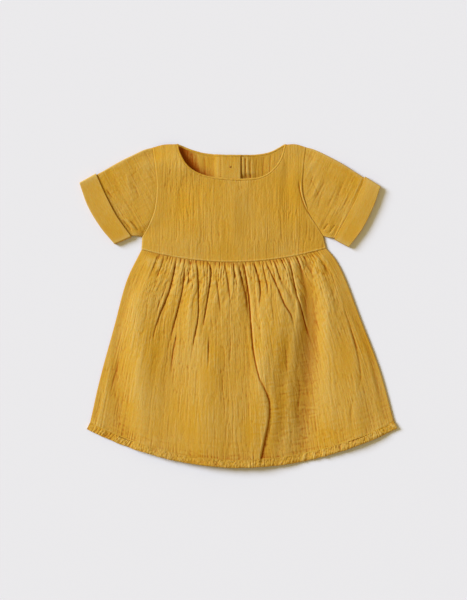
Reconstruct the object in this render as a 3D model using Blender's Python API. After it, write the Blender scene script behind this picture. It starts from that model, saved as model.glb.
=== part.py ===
"""A baby's short-sleeve dress in double gauze, laid flat on its back.

The front faces up (+Z) and the neck points along +Y, so the wearer's right side is at -X.
Every piece is a cloth wall of true thickness. The front pieces lie on the back pieces, the
sleeves and their turned-up cuffs are flattened tubes, the back bodice laps over itself and
buttons at its centre, and the skirt is gathered into the waist and eased into a hem band.

All sizes here are millimetres. add_solid() turns them into Blender's metres.
"""

import math

import bmesh
import bpy
import numpy as np

MM = 0.001

# ---------------------------------------------------------------- cloth and layers
CLOTH = 1.0  # a wall of double gauze, crinkle included
SEAM_GAP = 0.3  # between two pieces at a seam, or where one lies on the other
SEAM_HALF = 0.2  # how far each piece stops short of a seam line
ARMHOLE_HALF = 0.3  # the same at an armhole, whose curve is tighter
FRONT_REST = CLOTH + SEAM_GAP  # height of the front's underside where it lies on the back
FACING_CLOTH = 1.0
HEM_CLOTH = 1.6
CUFF_CLOTH = 1.6

# ---------------------------------------------------------------- heights of the front
BODICE_RISE = 4.4  # the front bodice's highest rise above FRONT_REST
WAIST_RISE = 2.8  # the same along the waist seam
SHOULDER_FADE = 35.0  # the rise dies out over this distance below the shoulder seams
SKIRT_LOFT = (  # rise of the skirt front above the back skirt
    # share down, rise
    (0.00, WAIST_RISE),
    (0.10, 2.5),
    (0.40, 1.9),
    (1.00, 1.2),
)
BACK_GATHER_BULK = 1.8  # thickness that the gathers add to the back skirt

# ---------------------------------------------------------------- outline, x and y
NECK_TOP = 210.0  # height in plan of the two points where the neck meets the shoulders
FRONT_NECK = (
    (-77.6, 209.8), (-75.5, 199.5), (-67.5, 184.5), (-55.5, 174.5), (-38.0, 168.0), (-8.0, 164.8),
    (19.0, 165.3), (35.0, 169.5), (47.5, 179.5), (55.5, 192.0), (60.8, 209.8),
)
BACK_NECK = (
    (-77.6, 209.8), (-62.0, 203.2), (-44.0, 198.2), (-22.0, 196.0),
    (4.0, 195.8), (24.0, 196.3), (41.0, 199.4), (52.0, 204.8), (60.8, 209.8),
)
SHOULDER_MIDDLE = {"right": (-96.0, 208.8), "left": (75.0, 209.4)}
ARMHOLE = {
    "right": (
        (-111.3, 205.0), (-107.2, 176.0), (-105.6, 150.0),
        (-108.8, 124.0), (-116.0, 105.0), (-124.6, 89.5),
    ),
    "left": (
        (88.3, 205.6), (85.2, 176.0), (84.2, 148.0),
        (92.5, 120.0), (102.0, 104.5), (111.2, 90.0),
    ),
}
ARMHOLE_SHARE = 0.87  # the armhole's share of each bodice side, down to the underarm
BODICE_ROWS = 13  # rows of points down the armhole
SKIRT_SIDE = {
    "right": ((-145.0, 31.0), (-161.0, -28.0), (-179.0, -94.0)),
    "left": ((127.0, 59.0), (140.0, 33.0), (158.5, -16.0), (183.5, -82.0)),
}
WAIST = {"middle": -8.0, "lowest": 56.0, "radius": 417.0}
WAIST_ENDS = (-125.4, 114.8)
HEM = {"middle": 4.0, "lowest": -210.3, "radius": 405.0}
HEM_ENDS = (-196.5, 207.0)
HEM_BAND = 10.0  # width of the hem band

SLEEVE_FOLD = {
    "right": ((-122.5, 202.0), (-138.0, 194.6), (-162.0, 183.0)),
    "left": ((99.5, 202.4), (116.0, 194.6), (141.0, 181.5)),
}
UNDERARM_MIDDLE = {"right": (-131.0, 90.2), "left": (118.0, 88.0)}
CUFF_EDGE = {
    "right": ((-184.6, 171.5), (-171.7, 143.0), (-157.3, 115.7), (-138.1, 88.6)),
    "left": ((165.1, 167.5), (154.0, 139.5), (140.5, 113.5), (125.0, 85.5)),
}
SLEEVE_END = {
    "right": ((-206.0, 159.5), (-195.0, 129.0), (-178.5, 101.5), (-160.0, 79.3)),
    "left": ((185.2, 155.0), (175.5, 127.5), (161.5, 99.5), (143.6, 75.6)),
}
CUFF_WIDTH = 24.0
SLEEVE_LOFT = 2.2  # extra height of a sleeve halfway along it
SLEEVE_HEIGHT_IN_CUFF = 2.6
RING_ROUND = 1.6  # radius in plan of a flattened tube's folded edges
RING_STEPS = 11  # steps of points across a flattened tube, between those edges
SLEEVE_STATIONS = (0.0, 0.2, 0.5, 0.8, 1.0)

# ---------------------------------------------------------------- back closure
LAP_LEFT = -22.0  # centre edge of the wearer's left back, the outer lap
LAP_RIGHT = 3.9  # centre edge of the wearer's right back, the inner lap
LAP_RISE_LENGTH = 12.0  # the inner lap climbs onto the outer one over this length
FACING_LEFT = -24.7
BUTTON_X = -10.3
BUTTON_YS = (180.0, 142.0, 104.0)
BUTTON_RADIUS = 5.5
BUTTON_THICK = 1.4
BUTTON_DISH = (3.7, 0.35)  # radius and depth of the hollow in the button's face
BUTTON_HOLE_RADIUS = 0.7
BUTTON_HOLE_OFFSET = 1.25
BUTTON_HOLE_SIDES = 6
BUTTON_SIDES = 18
RIDGE_FLAT = 9.0  # the cloth over the buttons is level this far from their line
RIDGE_END = 34.0  # and is back on the surface this far from it
RIDGE_LEVEL_DOWN_TO = 96.0
RIDGE_FADES_OUT_AT = 62.0

# ---------------------------------------------------------------- neck binding
BINDING_WIDTH = 2.4
BINDING_THICK = 1.3
NECK_CUT = BINDING_WIDTH + SEAM_GAP  # the bodice stops this far outside the finished neck

# ---------------------------------------------------------------- gathers and folds
GATHERS = 48
GATHER_STEPS = 3  # columns of points to a gather
GATHERS_FROM, GATHERS_TO = 0.085, 0.965  # shares across the waist seam
GATHER_HEIGHT = (
    # share down, height of a crest over its troughs
    (0.00, 0.5),
    (0.03, 1.5),
    (0.12, 2.2),
    (0.35, 1.7),
    (0.70, 0.9),
    (1.00, 0.4),
)
HEM_PUCKERS = 96
PUCKER_DEPTH = 0.7
SKIRT_ROWS = (0.0, 0.015, 0.045, 0.09, 0.16, 0.25, 0.36, 0.49, 0.64, 0.81, 1.0)
FOLDS = (
    # top x, top y, foot x, foot y, half width, height: a ridge is positive, a trough negative
    (-82.0, 50.0, -112.0, -52.0, 4.5, -1.6),
    (-70.0, 30.0, -90.0, -60.0, 4.5, -1.6),
    (-52.0, 45.0, -61.0, -72.0, 4.5, -1.8),
    (-36.0, 50.0, -46.0, -40.0, 4.0, -1.5),
    (-100.0, 20.0, -130.0, -120.0, 9.0, 1.4),
    (12.0, 48.0, 22.0, -100.0, 4.5, -1.8),
    (24.0, -30.0, 33.0, -185.0, 7.0, 2.4),
    (38.0, -60.0, 42.0, -185.0, 7.0, -1.6),
    (70.0, 50.0, 101.0, -66.0, 5.0, -2.0),
    (62.0, -60.0, 68.0, -180.0, 9.0, -1.4),
    (92.0, -20.0, 112.0, -160.0, 11.0, 1.6),
    (128.0, 20.0, 157.0, -100.0, 6.0, -1.8),
    (-160.0, -60.0, -170.0, -140.0, 7.0, -1.2),
    (-10.0, 10.0, -14.0, -150.0, 9.0, 1.2),
)
FOLD_FADE = 0.18  # share of a fold's length over which each end dies out

CLOTH_COLOUR = (0.597, 0.337, 0.044, 1.0)
BUTTON_COLOUR = (0.55, 0.33, 0.06, 1.0)
CURVE_STEPS = 40  # samples in each span of a smooth edge
EDGE_STEP = 0.002  # share of an edge's length over which its direction is measured


# ================================================================ plan: edges and patches
def smoothstep(value, start, end):
    """0 before start, 1 after end, and smooth between them."""
    share = np.clip((value - start) / (end - start), 0.0, 1.0)
    return share * share * (3.0 - 2.0 * share)


def table_value(table, column):
    """The value at each place in column, from a table of (place, value) rows."""
    places, values = zip(*table)
    return np.interp(column, places, values)


def smooth_edge(points):
    """A smooth curve through points, as a function of the share of its length."""
    given = np.array(points, float)
    given = np.vstack([2 * given[0] - given[1], given, 2 * given[-1] - given[-2]])
    t = np.linspace(0.0, 1.0, CURVE_STEPS, endpoint=False)[:, None]
    spans = []
    for a, b, c, d in zip(given, given[1:], given[2:], given[3:]):
        linear = (c - a) * t
        square = (2 * a - 5 * b + 4 * c - d) * t**2
        cube = (3 * b - a - 3 * c + d) * t**3
        spans.append(0.5 * (2 * b + linear + square + cube))
    dense = np.vstack([*spans, given[-2:-1]])
    steps = np.linalg.norm(np.diff(dense, axis=0), axis=1)
    run = np.concatenate([[0.0], np.cumsum(steps)]) / steps.sum()

    def at(share):
        return np.stack([np.interp(share, run, dense[:, k]) for k in (0, 1)], axis=-1)

    return at


def bow(curve, x_from, x_to):
    """A shallow bow, lowest at its middle, such as the waist seam or the hem."""

    def at(share):
        x = x_from + (x_to - x_from) * np.asarray(share, float)
        y = curve["lowest"] + (x - curve["middle"]) ** 2 / (2 * curve["radius"])
        return np.stack([x, y], axis=-1)

    return at


def joined(*parts):
    """Edges end to end. Each part is (the share where it ends, edge)."""

    def at(share):
        share = np.asarray(share, float)
        result = np.zeros(share.shape + (2,))
        start = 0.0
        for end, edge in parts:
            inside = ((share >= start) & (share <= end))[..., None]
            local = np.clip((share - start) / (end - start), 0.0, 1.0)
            result = np.where(inside, edge(local), result)
            start = end
        return result

    return at


def shifted(edge, distance):
    """The edge moved sideways, to the left of its direction where distance is positive."""

    def at(share):
        share = np.asarray(share, float)
        ahead = edge(np.clip(share + EDGE_STEP, 0.0, 1.0))
        along = ahead - edge(np.clip(share - EDGE_STEP, 0.0, 1.0))
        along /= np.linalg.norm(along, axis=-1, keepdims=True)
        sideways = np.stack([-along[..., 1], along[..., 0]], axis=-1)
        return edge(share) + distance * sideways

    return at


def reverse(edge):
    return lambda share: edge(1.0 - np.asarray(share, float))


def share_at_x(edge, x):
    """The share at which an edge that runs towards +X reaches x."""
    shares = np.linspace(0.0, 1.0, 2001)
    return float(np.interp(x, edge(shares)[:, 0], shares))


def stretch_of(edge, start, end):
    """The stretch of an edge between two shares."""
    return lambda share: edge(start + (end - start) * np.asarray(share, float))


def patch(top, bottom, left, right):
    """A Coons patch between four edges that meet: plan position at share u across and v down."""

    def at(u, v):
        u, v = np.broadcast_arrays(np.asarray(u, float), np.asarray(v, float))
        across, down = u[..., None], v[..., None]
        from_ends = (1 - down) * top(u) + down * bottom(u)
        from_sides = (1 - across) * left(v) + across * right(v)
        upper = (1 - across) * top(0.0) + across * top(1.0)
        lower = (1 - across) * bottom(0.0) + across * bottom(1.0)
        return from_ends + from_sides - (1 - down) * upper - down * lower

    return at


def spaced(*runs):
    """Shares from 0 to 1. Each run is (the share where it ends, how many steps it takes)."""
    shares, start = [0.0], 0.0
    for end, steps in runs:
        shares.extend(np.linspace(start, end, steps + 1)[1:])
        start = end
    return np.array(shares)


# ================================================================ solids
def material(name, colour, roughness):
    made = bpy.data.materials.new(name)
    made.use_nodes = True
    shader = made.node_tree.nodes["Principled BSDF"]
    shader.inputs["Base Color"].default_value = colour
    shader.inputs["Roughness"].default_value = roughness
    shader.inputs["Metallic"].default_value = 0.0
    return made


def add_solid(name, points, faces, finish):
    """One closed body from points in millimetres, with its faces pointing out."""
    mesh = bpy.data.meshes.new(name)
    mesh.from_pydata((np.asarray(points) * MM).tolist(), [], faces)
    shape = bmesh.new()
    shape.from_mesh(mesh)
    bmesh.ops.recalc_face_normals(shape, faces=shape.faces)
    shape.to_mesh(mesh)
    shape.free()
    mesh.shade_smooth()
    mesh.set_sharp_from_angle(angle=math.radians(40.0))
    mesh.materials.append(finish)
    made = bpy.data.objects.new(name, mesh)
    bpy.context.scene.collection.objects.link(made)
    return made


def add_wall(name, plan, low, high, finish):
    """A panel of cloth: a grid of plan positions with an under and an upper height."""
    rows, columns = low.shape
    under = np.dstack([plan, low]).reshape(-1, 3)
    upper = np.dstack([plan, high]).reshape(-1, 3)
    count = rows * columns
    faces = []
    for i in range(rows - 1):
        for j in range(columns - 1):
            a, b = i * columns + j, (i + 1) * columns + j
            faces.append((a, b, b + 1, a + 1))
            faces.append((count + a, count + a + 1, count + b + 1, count + b))
    rim = [j for j in range(columns)]
    rim += [i * columns + columns - 1 for i in range(1, rows)]
    rim += [(rows - 1) * columns + j for j in range(columns - 2, -1, -1)]
    rim += [i * columns for i in range(rows - 2, 0, -1)]
    for a, b in zip(rim, rim[1:] + rim[:1]):
        faces.append((a, b, count + b, count + a))
    return add_solid(name, np.vstack([under, upper]), faces, finish)


def add_loft(name, loops, finish, closed=False):
    """A body through matching loops of points. It ends in two caps, or closes on itself."""
    loops = np.asarray(loops)
    count, size = loops.shape[:2]
    faces = []
    for i in range(count if closed else count - 1):
        following = (i + 1) % count
        for j in range(size):
            k = (j + 1) % size
            faces.append((i * size + j, i * size + k, following * size + k, following * size + j))
    if not closed:
        faces.append(tuple(range(size)))
        faces.append(tuple((count - 1) * size + j for j in range(size)))
    return add_solid(name, loops.reshape(-1, 3), faces, finish)


# ================================================================ the finished edges
def neck_edge(points):
    """The edge to which the bodice is cut, outside the finished neck by the binding."""
    return shifted(smooth_edge(points), -NECK_CUT)


def armhole_edge(side, outward):
    """The armhole seam, moved sideways so that the piece on each side of it stops short."""
    distance = ARMHOLE_HALF * (outward if side == "left" else -outward)
    return shifted(smooth_edge(ARMHOLE[side]), distance)


def waist_edge(offset):
    return shifted(bow(WAIST, *WAIST_ENDS), offset)


def bodice_waist():
    return waist_edge(SEAM_HALF)


def bodice_side(side):
    """Armhole and side seam of a bodice piece, from the shoulder to the waist."""
    armhole = armhole_edge(side, -1.0)
    waist = bodice_waist()(0.0 if side == "right" else 1.0)
    return joined((ARMHOLE_SHARE, armhole), (1.0, smooth_edge((armhole(1.0), waist))))


def shoulder_edge(side, neck_end):
    """The shoulder fold of a bodice piece, from its armhole to its neck."""
    return smooth_edge((armhole_edge(side, -1.0)(0.0), SHOULDER_MIDDLE[side], neck_end))


def hem_line():
    return bow(HEM, *HEM_ENDS)


def skirt_plan():
    """The skirt's outline, the same for front and back, as a patch."""
    top = waist_edge(-SEAM_HALF)
    bottom = shifted(hem_line(), HEM_BAND + SEAM_GAP)
    right = smooth_edge((top(0.0), *SKIRT_SIDE["right"], bottom(0.0)))
    left = smooth_edge((top(1.0), *SKIRT_SIDE["left"], bottom(1.0)))
    return patch(top, bottom, right, left)


# ================================================================ heights
def crown(u, power):
    """1 in the middle of a panel and 0 at its two side seams."""
    return 1.0 - np.abs(2.0 * u - 1.0) ** power


def ridge_height(x, y):
    """How far the buttons lift the back bodice above the surface it lies on."""
    across = 1.0 - smoothstep(np.abs(x - BUTTON_X), RIDGE_FLAT, RIDGE_END)
    down = smoothstep(y, RIDGE_FADES_OUT_AT, RIDGE_LEVEL_DOWN_TO)
    return (BUTTON_THICK + SEAM_GAP) * across * down


def lap_share(x):
    """How far the inner lap has climbed onto the outer one, from 0 to 1."""
    return smoothstep(x, LAP_LEFT - LAP_RISE_LENGTH, LAP_LEFT - 2.0)


def front_bodice_low(u, v, plan):
    level = BODICE_RISE + (WAIST_RISE - BODICE_RISE) * smoothstep(v, 0.72, 1.0)
    top = smoothstep(NECK_TOP - plan[..., 1], 0.0, SHOULDER_FADE)
    return FRONT_REST + crown(u, 1.8) * top * level


def back_bulk(u, v):
    """Thickness that the gathers add to the back skirt's inner side."""
    return BACK_GATHER_BULK * crown(u, 6.0) * smoothstep(v, 0.0, 0.045) * (1.0 - smoothstep(v, 0.1, 0.6))


def fold_height(plan):
    """The largest folds of the skirt front, each a soft ridge or trough along a line."""
    total = np.zeros(plan.shape[:-1])
    for top_x, top_y, foot_x, foot_y, half_width, height in FOLDS:
        start, end = np.array([top_x, top_y]), np.array([foot_x, foot_y])
        length = np.linalg.norm(end - start)
        along = (end - start) / length
        share = (plan - start) @ along / length
        off = (plan - start) @ np.array([-along[1], along[0]])
        ends = smoothstep(share, 0.0, FOLD_FADE) * (1.0 - smoothstep(share, 1.0 - FOLD_FADE, 1.0))
        total += height * ends * np.exp(-((off / half_width) ** 2))
    return total


def gather_reach(index):
    """Share of the skirt's length down which a gather runs: a few run far, most die out."""
    return 0.28 + 0.75 * (0.5 + 0.5 * math.sin(1.7 * index + 0.6)) ** 2


# ================================================================ the pieces
def build_front_bodice(finish):
    neck = neck_edge(FRONT_NECK)
    neck_start, neck_end = 0.17, 0.86
    top = joined(
        (neck_start, shoulder_edge("right", neck(0.0))),
        (neck_end, neck),
        (1.0, reverse(shoulder_edge("left", neck(1.0)))),
    )
    plan_at = patch(top, bodice_waist(), bodice_side("right"), bodice_side("left"))
    u = spaced((neck_start, 5), (neck_end, 24), (1.0, 4))[None, :]
    v = spaced((ARMHOLE_SHARE, BODICE_ROWS), (1.0, 2))[:, None]
    plan = plan_at(u, v)
    low = front_bodice_low(u, v, plan)
    add_wall("front_bodice", plan, low, low + CLOTH, finish)
    add_front_binding(neck, plan_at, (neck_start, neck_end), finish)


def binding_loops(path, low):
    """Six-sided sections of the neck binding along its path, each resting at its low height."""
    half, thick = BINDING_WIDTH / 2, BINDING_THICK
    shoulder = 0.6 * half
    section = (
        # across the binding, up from its underside
        (half, thick / 2),
        (shoulder, thick),
        (-shoulder, thick),
        (-half, thick / 2),
        (-shoulder, 0.0),
        (shoulder, 0.0),
    )
    ahead = np.gradient(path, axis=0)
    ahead /= np.linalg.norm(ahead, axis=1, keepdims=True)
    sideways = np.stack([-ahead[:, 1], ahead[:, 0]], axis=-1)
    loops = []
    for place, side, base in zip(path, sideways, low):
        loops.append([(*(place + side * across), base + up) for across, up in section])
    return loops


def add_front_binding(neck, plan_at, span, finish):
    shares = np.linspace(0.0, 1.0, 37)
    u = span[0] + (span[1] - span[0]) * shares
    cut = plan_at(u, 0.0)
    low = front_bodice_low(u, 0.0, cut) + SEAM_GAP
    path = shifted(neck, SEAM_GAP + BINDING_WIDTH / 2)(shares)
    add_loft("neck_binding_front", binding_loops(path, low), finish)


def build_back_bodice(finish):
    """The two back pieces, with the inner lap's facing and the bindings of both."""
    neck = neck_edge(BACK_NECK)
    waist = bodice_waist()
    v = spaced((ARMHOLE_SHARE, BODICE_ROWS), (1.0, 2))[:, None]

    inner_end = share_at_x(neck, LAP_RIGHT)
    shoulder_share = 0.25
    inner_top = joined(
        (shoulder_share, shoulder_edge("right", neck(0.0))),
        (1.0, stretch_of(neck, 0.0, inner_end)),
    )
    inner_waist = stretch_of(waist, 0.0, share_at_x(waist, LAP_RIGHT))
    centre = smooth_edge((inner_top(1.0), inner_waist(1.0)))
    u = spaced((shoulder_share, 4), (1.0, 13))[None, :]
    plan = patch(inner_top, inner_waist, bodice_side("right"), centre)(u, v)
    low = ridge_height(plan[..., 0], plan[..., 1]) + FRONT_REST * lap_share(plan[..., 0])
    add_wall("back_bodice_right", plan, low, low + CLOTH, finish)

    outer_start = share_at_x(neck, LAP_LEFT)
    shoulder_share = 0.78
    outer_top = joined(
        (shoulder_share, stretch_of(neck, outer_start, 1.0)),
        (1.0, reverse(shoulder_edge("left", neck(1.0)))),
    )
    outer_waist = stretch_of(waist, share_at_x(waist, LAP_LEFT), 1.0)
    centre = smooth_edge((outer_top(0.0), outer_waist(0.0)))
    u = spaced((shoulder_share, 13), (1.0, 4))[None, :]
    plan = patch(outer_top, outer_waist, centre, bodice_side("left"))(u, v)
    low = ridge_height(plan[..., 0], plan[..., 1])
    add_wall("back_bodice_left", plan, low, low + CLOTH, finish)

    add_facing(neck, waist, finish)
    finished = shifted(neck, SEAM_GAP + BINDING_WIDTH / 2)
    for name, start, end, lap in (
        ("neck_binding_back_right", 0.0, inner_end, BINDING_THICK + SEAM_GAP),
        ("neck_binding_back_left", outer_start, 1.0, 0.0),
    ):
        path = finished(np.linspace(start, end, 21))
        low = ridge_height(path[:, 0], path[:, 1]) + lap * lap_share(path[:, 0])
        add_loft(name, binding_loops(path, low), finish)


def add_facing(neck, waist, finish):
    """The facing strip on the inner lap, seen through the neck."""
    right = LAP_RIGHT - SEAM_GAP
    top = stretch_of(neck, share_at_x(neck, FACING_LEFT), share_at_x(neck, right))
    bottom = stretch_of(waist, share_at_x(waist, FACING_LEFT), share_at_x(waist, right))
    left_edge = smooth_edge((top(0.0), bottom(0.0)))
    right_edge = smooth_edge((top(1.0), bottom(1.0)))
    u = np.linspace(0.0, 1.0, 7)[None, :]
    v = np.linspace(0.0, 1.0, 13)[:, None]
    plan = patch(top, bottom, left_edge, right_edge)(u, v)
    on_lap = ridge_height(plan[..., 0], plan[..., 1]) + FRONT_REST + CLOTH
    low = on_lap + SEAM_GAP
    add_wall("placket_facing", plan, low, low + FACING_CLOTH, finish)


def build_back_skirt(finish):
    u = np.linspace(0.0, 1.0, 17)[None, :]
    v = np.array((0.0, 0.045, 0.1, 0.3, 0.6, 1.0))[:, None]
    plan = skirt_plan()(u, v)
    low = np.zeros(plan.shape[:-1])
    add_wall("back_skirt", plan, low, low + CLOTH + back_bulk(u, v), finish)


def gather_columns():
    """For each column of points: its share across the skirt, its gather, and how far up it is."""
    share, gather, crest = [0.0, GATHERS_FROM * 0.35, GATHERS_FROM * 0.7], [0, 0, 0], [0.0, 0.0, 0.0]
    for column in range(GATHERS * GATHER_STEPS + 1):
        place = column / GATHER_STEPS
        uneven = 0.16 * math.sin(2.1 * place + 0.4) + 0.12 * math.sin(0.83 * place)
        ends = math.sin(math.pi * place / GATHERS) ** 0.5
        share.append(GATHERS_FROM + (GATHERS_TO - GATHERS_FROM) * (place + uneven * ends) / GATHERS)
        gather.append(min(int(place), GATHERS - 1))
        crest.append(0.5 - 0.5 * math.cos(2 * math.pi * place))
    share += [(1.0 + GATHERS_TO) / 2, 1.0]
    return np.array(share), gather + [0, 0], np.array(crest + [0.0, 0.0])


def build_front_skirt(finish):
    share, gather, crest = gather_columns()
    u, v = share[None, :], np.array(SKIRT_ROWS)[:, None]
    plan = skirt_plan()(u, v)
    reach = np.array([gather_reach(index) for index in gather])[None, :]
    height = table_value(GATHER_HEIGHT, v) * (1.0 - 0.85 * smoothstep(v, 0.35 * reach, reach))
    side = crown(u, 2.6)
    relief = height * crest[None, :] + fold_height(plan) * smoothstep(side, 0.0, 0.5)
    loft = table_value(SKIRT_LOFT, v)
    rise = np.maximum(side * loft + relief, 0.0)
    low = FRONT_REST + back_bulk(u, v) + rise
    add_wall("front_skirt", plan, low, low + CLOTH, finish)


def build_hem(finish):
    """The hem band, front and back. The front one is puckered along its whole length."""
    hem = hem_line()
    shares = np.linspace(0.0, 1.0, 2 * HEM_PUCKERS + 1)
    crest = (np.arange(len(shares)) % 2) * PUCKER_DEPTH
    low = HEM_CLOTH + SEAM_GAP
    high = low + HEM_CLOTH
    loops = []
    rows = [
        # distance in from the hem line, height, how much of the pucker shows
        (0.0, low + 0.6, 0.0),
        (0.9, high - 0.2, 0.7),
        (5.0, high + 0.1, 1.0),
        (HEM_BAND, high, 0.8),
        (HEM_BAND, low, 0.0),
        (0.9, low, 0.0),
    ]
    lines = [shifted(hem, inward)(shares) for inward, _, _ in rows]
    for k in range(len(shares)):
        loops.append([(*line[k], height + crest[k] * part) for line, (_, height, part) in zip(lines, rows)])
    add_loft("hem_band_front", loops, finish)

    shares = np.linspace(0.0, 1.0, 61)
    rows = [(0.0, 0.7), (0.9, 0.0), (HEM_BAND, 0.0), (HEM_BAND, HEM_CLOTH), (0.9, HEM_CLOTH)]
    lines = [shifted(hem, inward)(shares) for inward, _ in rows]
    loops = [[(*line[k], height) for line, (_, height) in zip(lines, rows)] for k in range(len(shares))]
    add_loft("hem_band_back", loops, finish)


def ring_shares(width):
    """Distances across a flattened tube, closer together at its two folded edges."""
    edge = [0.0, RING_ROUND * 0.15, RING_ROUND * 0.5, RING_ROUND]
    middle = np.linspace(RING_ROUND, width - RING_ROUND, RING_STEPS + 1)[1:-1]
    return np.array(edge + list(middle) + [width - place for place in reversed(edge)])


def flat_ring(line, inset, low, high):
    """A closed loop round a flattened tube: out along the line on top, and back below."""
    ends = line(np.array([0.0, 1.0]))
    width = np.linalg.norm(ends[1] - ends[0])
    distance = ring_shares(width)
    near = np.minimum(distance, width - distance)
    lift = np.sqrt(1.0 - (1.0 - np.minimum(near / RING_ROUND, 1.0)) ** 2)
    share = (inset + distance * (width - 2 * inset) / width) / width
    plan = line(share)
    middle, half = (low + high) / 2, (high - low) / 2
    top = [(*p, middle + half * e) for p, e in zip(plan, lift)]
    below = [(*p, middle - half * e) for p, e in zip(plan, lift)]
    return top + below[-2:0:-1]


def sleeve_patches(side):
    """The sleeve from armhole to cuff edge, and the part that lies inside the cuff."""
    armhole = armhole_edge(side, 1.0)
    edge, end = smooth_edge(CUFF_EDGE[side]), smooth_edge(SLEEVE_END[side])
    fold = smooth_edge((armhole(0.0), *SLEEVE_FOLD[side], edge(0.0)))
    underarm = smooth_edge((armhole(1.0), UNDERARM_MIDDLE[side], edge(1.0)))
    upper = patch(fold, underarm, armhole, edge)
    fold = smooth_edge((CUFF_EDGE[side][0], SLEEVE_END[side][0]))
    below = smooth_edge((CUFF_EDGE[side][-1], SLEEVE_END[side][-1]))
    return upper, patch(fold, below, edge, end)


def across(plan_at, station):
    """The line across a sleeve, from its fold to its underarm, at a share of its length."""
    return lambda share: plan_at(station, share)


def build_sleeve(side, finish):
    upper, inside_cuff = sleeve_patches(side)
    cuffed_low = CUFF_CLOTH + SEAM_GAP
    flat_height = 2 * CLOTH + SEAM_GAP
    outer, inner = [], []
    for s in SLEEVE_STATIONS:
        tuck = float(smoothstep(s, 0.45, 1.0))
        low = cuffed_low * float(smoothstep(s, 0.3, 1.0))
        height = flat_height + (SLEEVE_HEIGHT_IN_CUFF - flat_height) * s + SLEEVE_LOFT * math.sin(math.pi * s)
        line, inset = across(upper, s), cuffed_low * tuck
        outer.append(flat_ring(line, inset, low, low + height))
        inner.append(flat_ring(line, inset + CLOTH, low + CLOTH, low + height - CLOTH))
    high = cuffed_low + SLEEVE_HEIGHT_IN_CUFF
    last = 1.0 - (CUFF_CLOTH + SEAM_GAP) / CUFF_WIDTH
    for s in (0.5, last):
        line = across(inside_cuff, s)
        outer.append(flat_ring(line, cuffed_low, cuffed_low, high))
        inner.append(flat_ring(line, cuffed_low + CLOTH, cuffed_low + CLOTH, high - CLOTH))
    add_loft(f"sleeve_{side}", outer + inner[::-1], finish, closed=True)


def build_cuff(side, finish):
    """The turned-up cuff: it wraps the sleeve, and its fold covers the sleeve's end."""
    _, plan_at = sleeve_patches(side)
    outer_high = 2 * (CUFF_CLOTH + SEAM_GAP) + SLEEVE_HEIGHT_IN_CUFF
    round_off = 0.5
    inner_fold = CUFF_CLOTH + SEAM_GAP + CLOTH
    lip = 1.0 - CUFF_CLOTH / CUFF_WIDTH
    rows = (
        # share along the cuff, inset from its outline
        (0.0, 0.0),
        (0.33, 0.0),
        (0.66, 0.0),
        (1.0 - round_off / CUFF_WIDTH, 0.0),
        (1.0, round_off),
        (1.0, inner_fold),
        (lip, inner_fold),
        (lip, CUFF_CLOTH),
        (0.5, CUFF_CLOTH),
        (0.0, CUFF_CLOTH),
    )
    loops = [flat_ring(across(plan_at, s), inset, inset, outer_high - inset) for s, inset in rows]
    add_loft(f"cuff_{side}", loops, finish, closed=True)


def circle(x, y, radius, height, sides):
    turns = [2 * math.pi * k / sides for k in range(sides)]
    return [(x + radius * math.cos(t), y + radius * math.sin(t), height) for t in turns]


def build_button(name, x, y, finish):
    """A four-hole button, face down under the outer lap."""
    dish_radius, dish_depth = BUTTON_DISH
    profile = (
        # radius, height
        (dish_radius, dish_depth),
        (dish_radius + 0.5, 0.0),
        (BUTTON_RADIUS - 0.5, 0.0),
        (BUTTON_RADIUS, 0.5),
        (BUTTON_RADIUS, BUTTON_THICK - 0.3),
        (BUTTON_RADIUS - 0.4, BUTTON_THICK),
    )
    loops = [circle(x, y, radius, height, BUTTON_SIDES) for radius, height in profile]
    button = add_loft(name, loops, finish)
    for k in range(4):
        turn = math.pi / 4 + k * math.pi / 2
        hole_x = x + BUTTON_HOLE_OFFSET * math.cos(turn)
        hole_y = y + BUTTON_HOLE_OFFSET * math.sin(turn)
        ends = [
            circle(hole_x, hole_y, BUTTON_HOLE_RADIUS, height, BUTTON_HOLE_SIDES)
            for height in (-1.0, BUTTON_THICK + 1.0)
        ]
        drill = add_loft(f"{name}_drill_{k}", ends, finish)
        drill.hide_render = True
        drill.display_type = "WIRE"
        cut = button.modifiers.new("hole", "BOOLEAN")
        cut.operation = "DIFFERENCE"
        cut.object = drill


def main():
    for old in list(bpy.data.objects):
        bpy.data.objects.remove(old)
    gauze = material("double_gauze", CLOTH_COLOUR, 0.9)
    plastic = material("button_plastic", BUTTON_COLOUR, 0.4)
    build_back_skirt(gauze)
    build_back_bodice(gauze)
    build_front_skirt(gauze)
    build_front_bodice(gauze)
    build_hem(gauze)
    for side in ("right", "left"):
        build_sleeve(side, gauze)
        build_cuff(side, gauze)
    for number, y in enumerate(BUTTON_YS, start=1):
        build_button(f"button_{number}", BUTTON_X, y, plastic)


main()
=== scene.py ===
"""The looks of a baby's short-sleeve dress in crinkled double gauze, laid flat on its back.

Each cloth node of the frame is replaced by a thin shell with the same plan, on the same levels.
The shell is fine enough to carry the gauze's crinkle, its gathers, creases and puckers, and the
skirt's shell has its broad, soft folds.

Plans and heights are in millimetres, in the frame's axes: +Y towards the neck, +Z up. The
mesh builders turn them into metres. Left and right are the wearer's.
"""

import math

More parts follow.
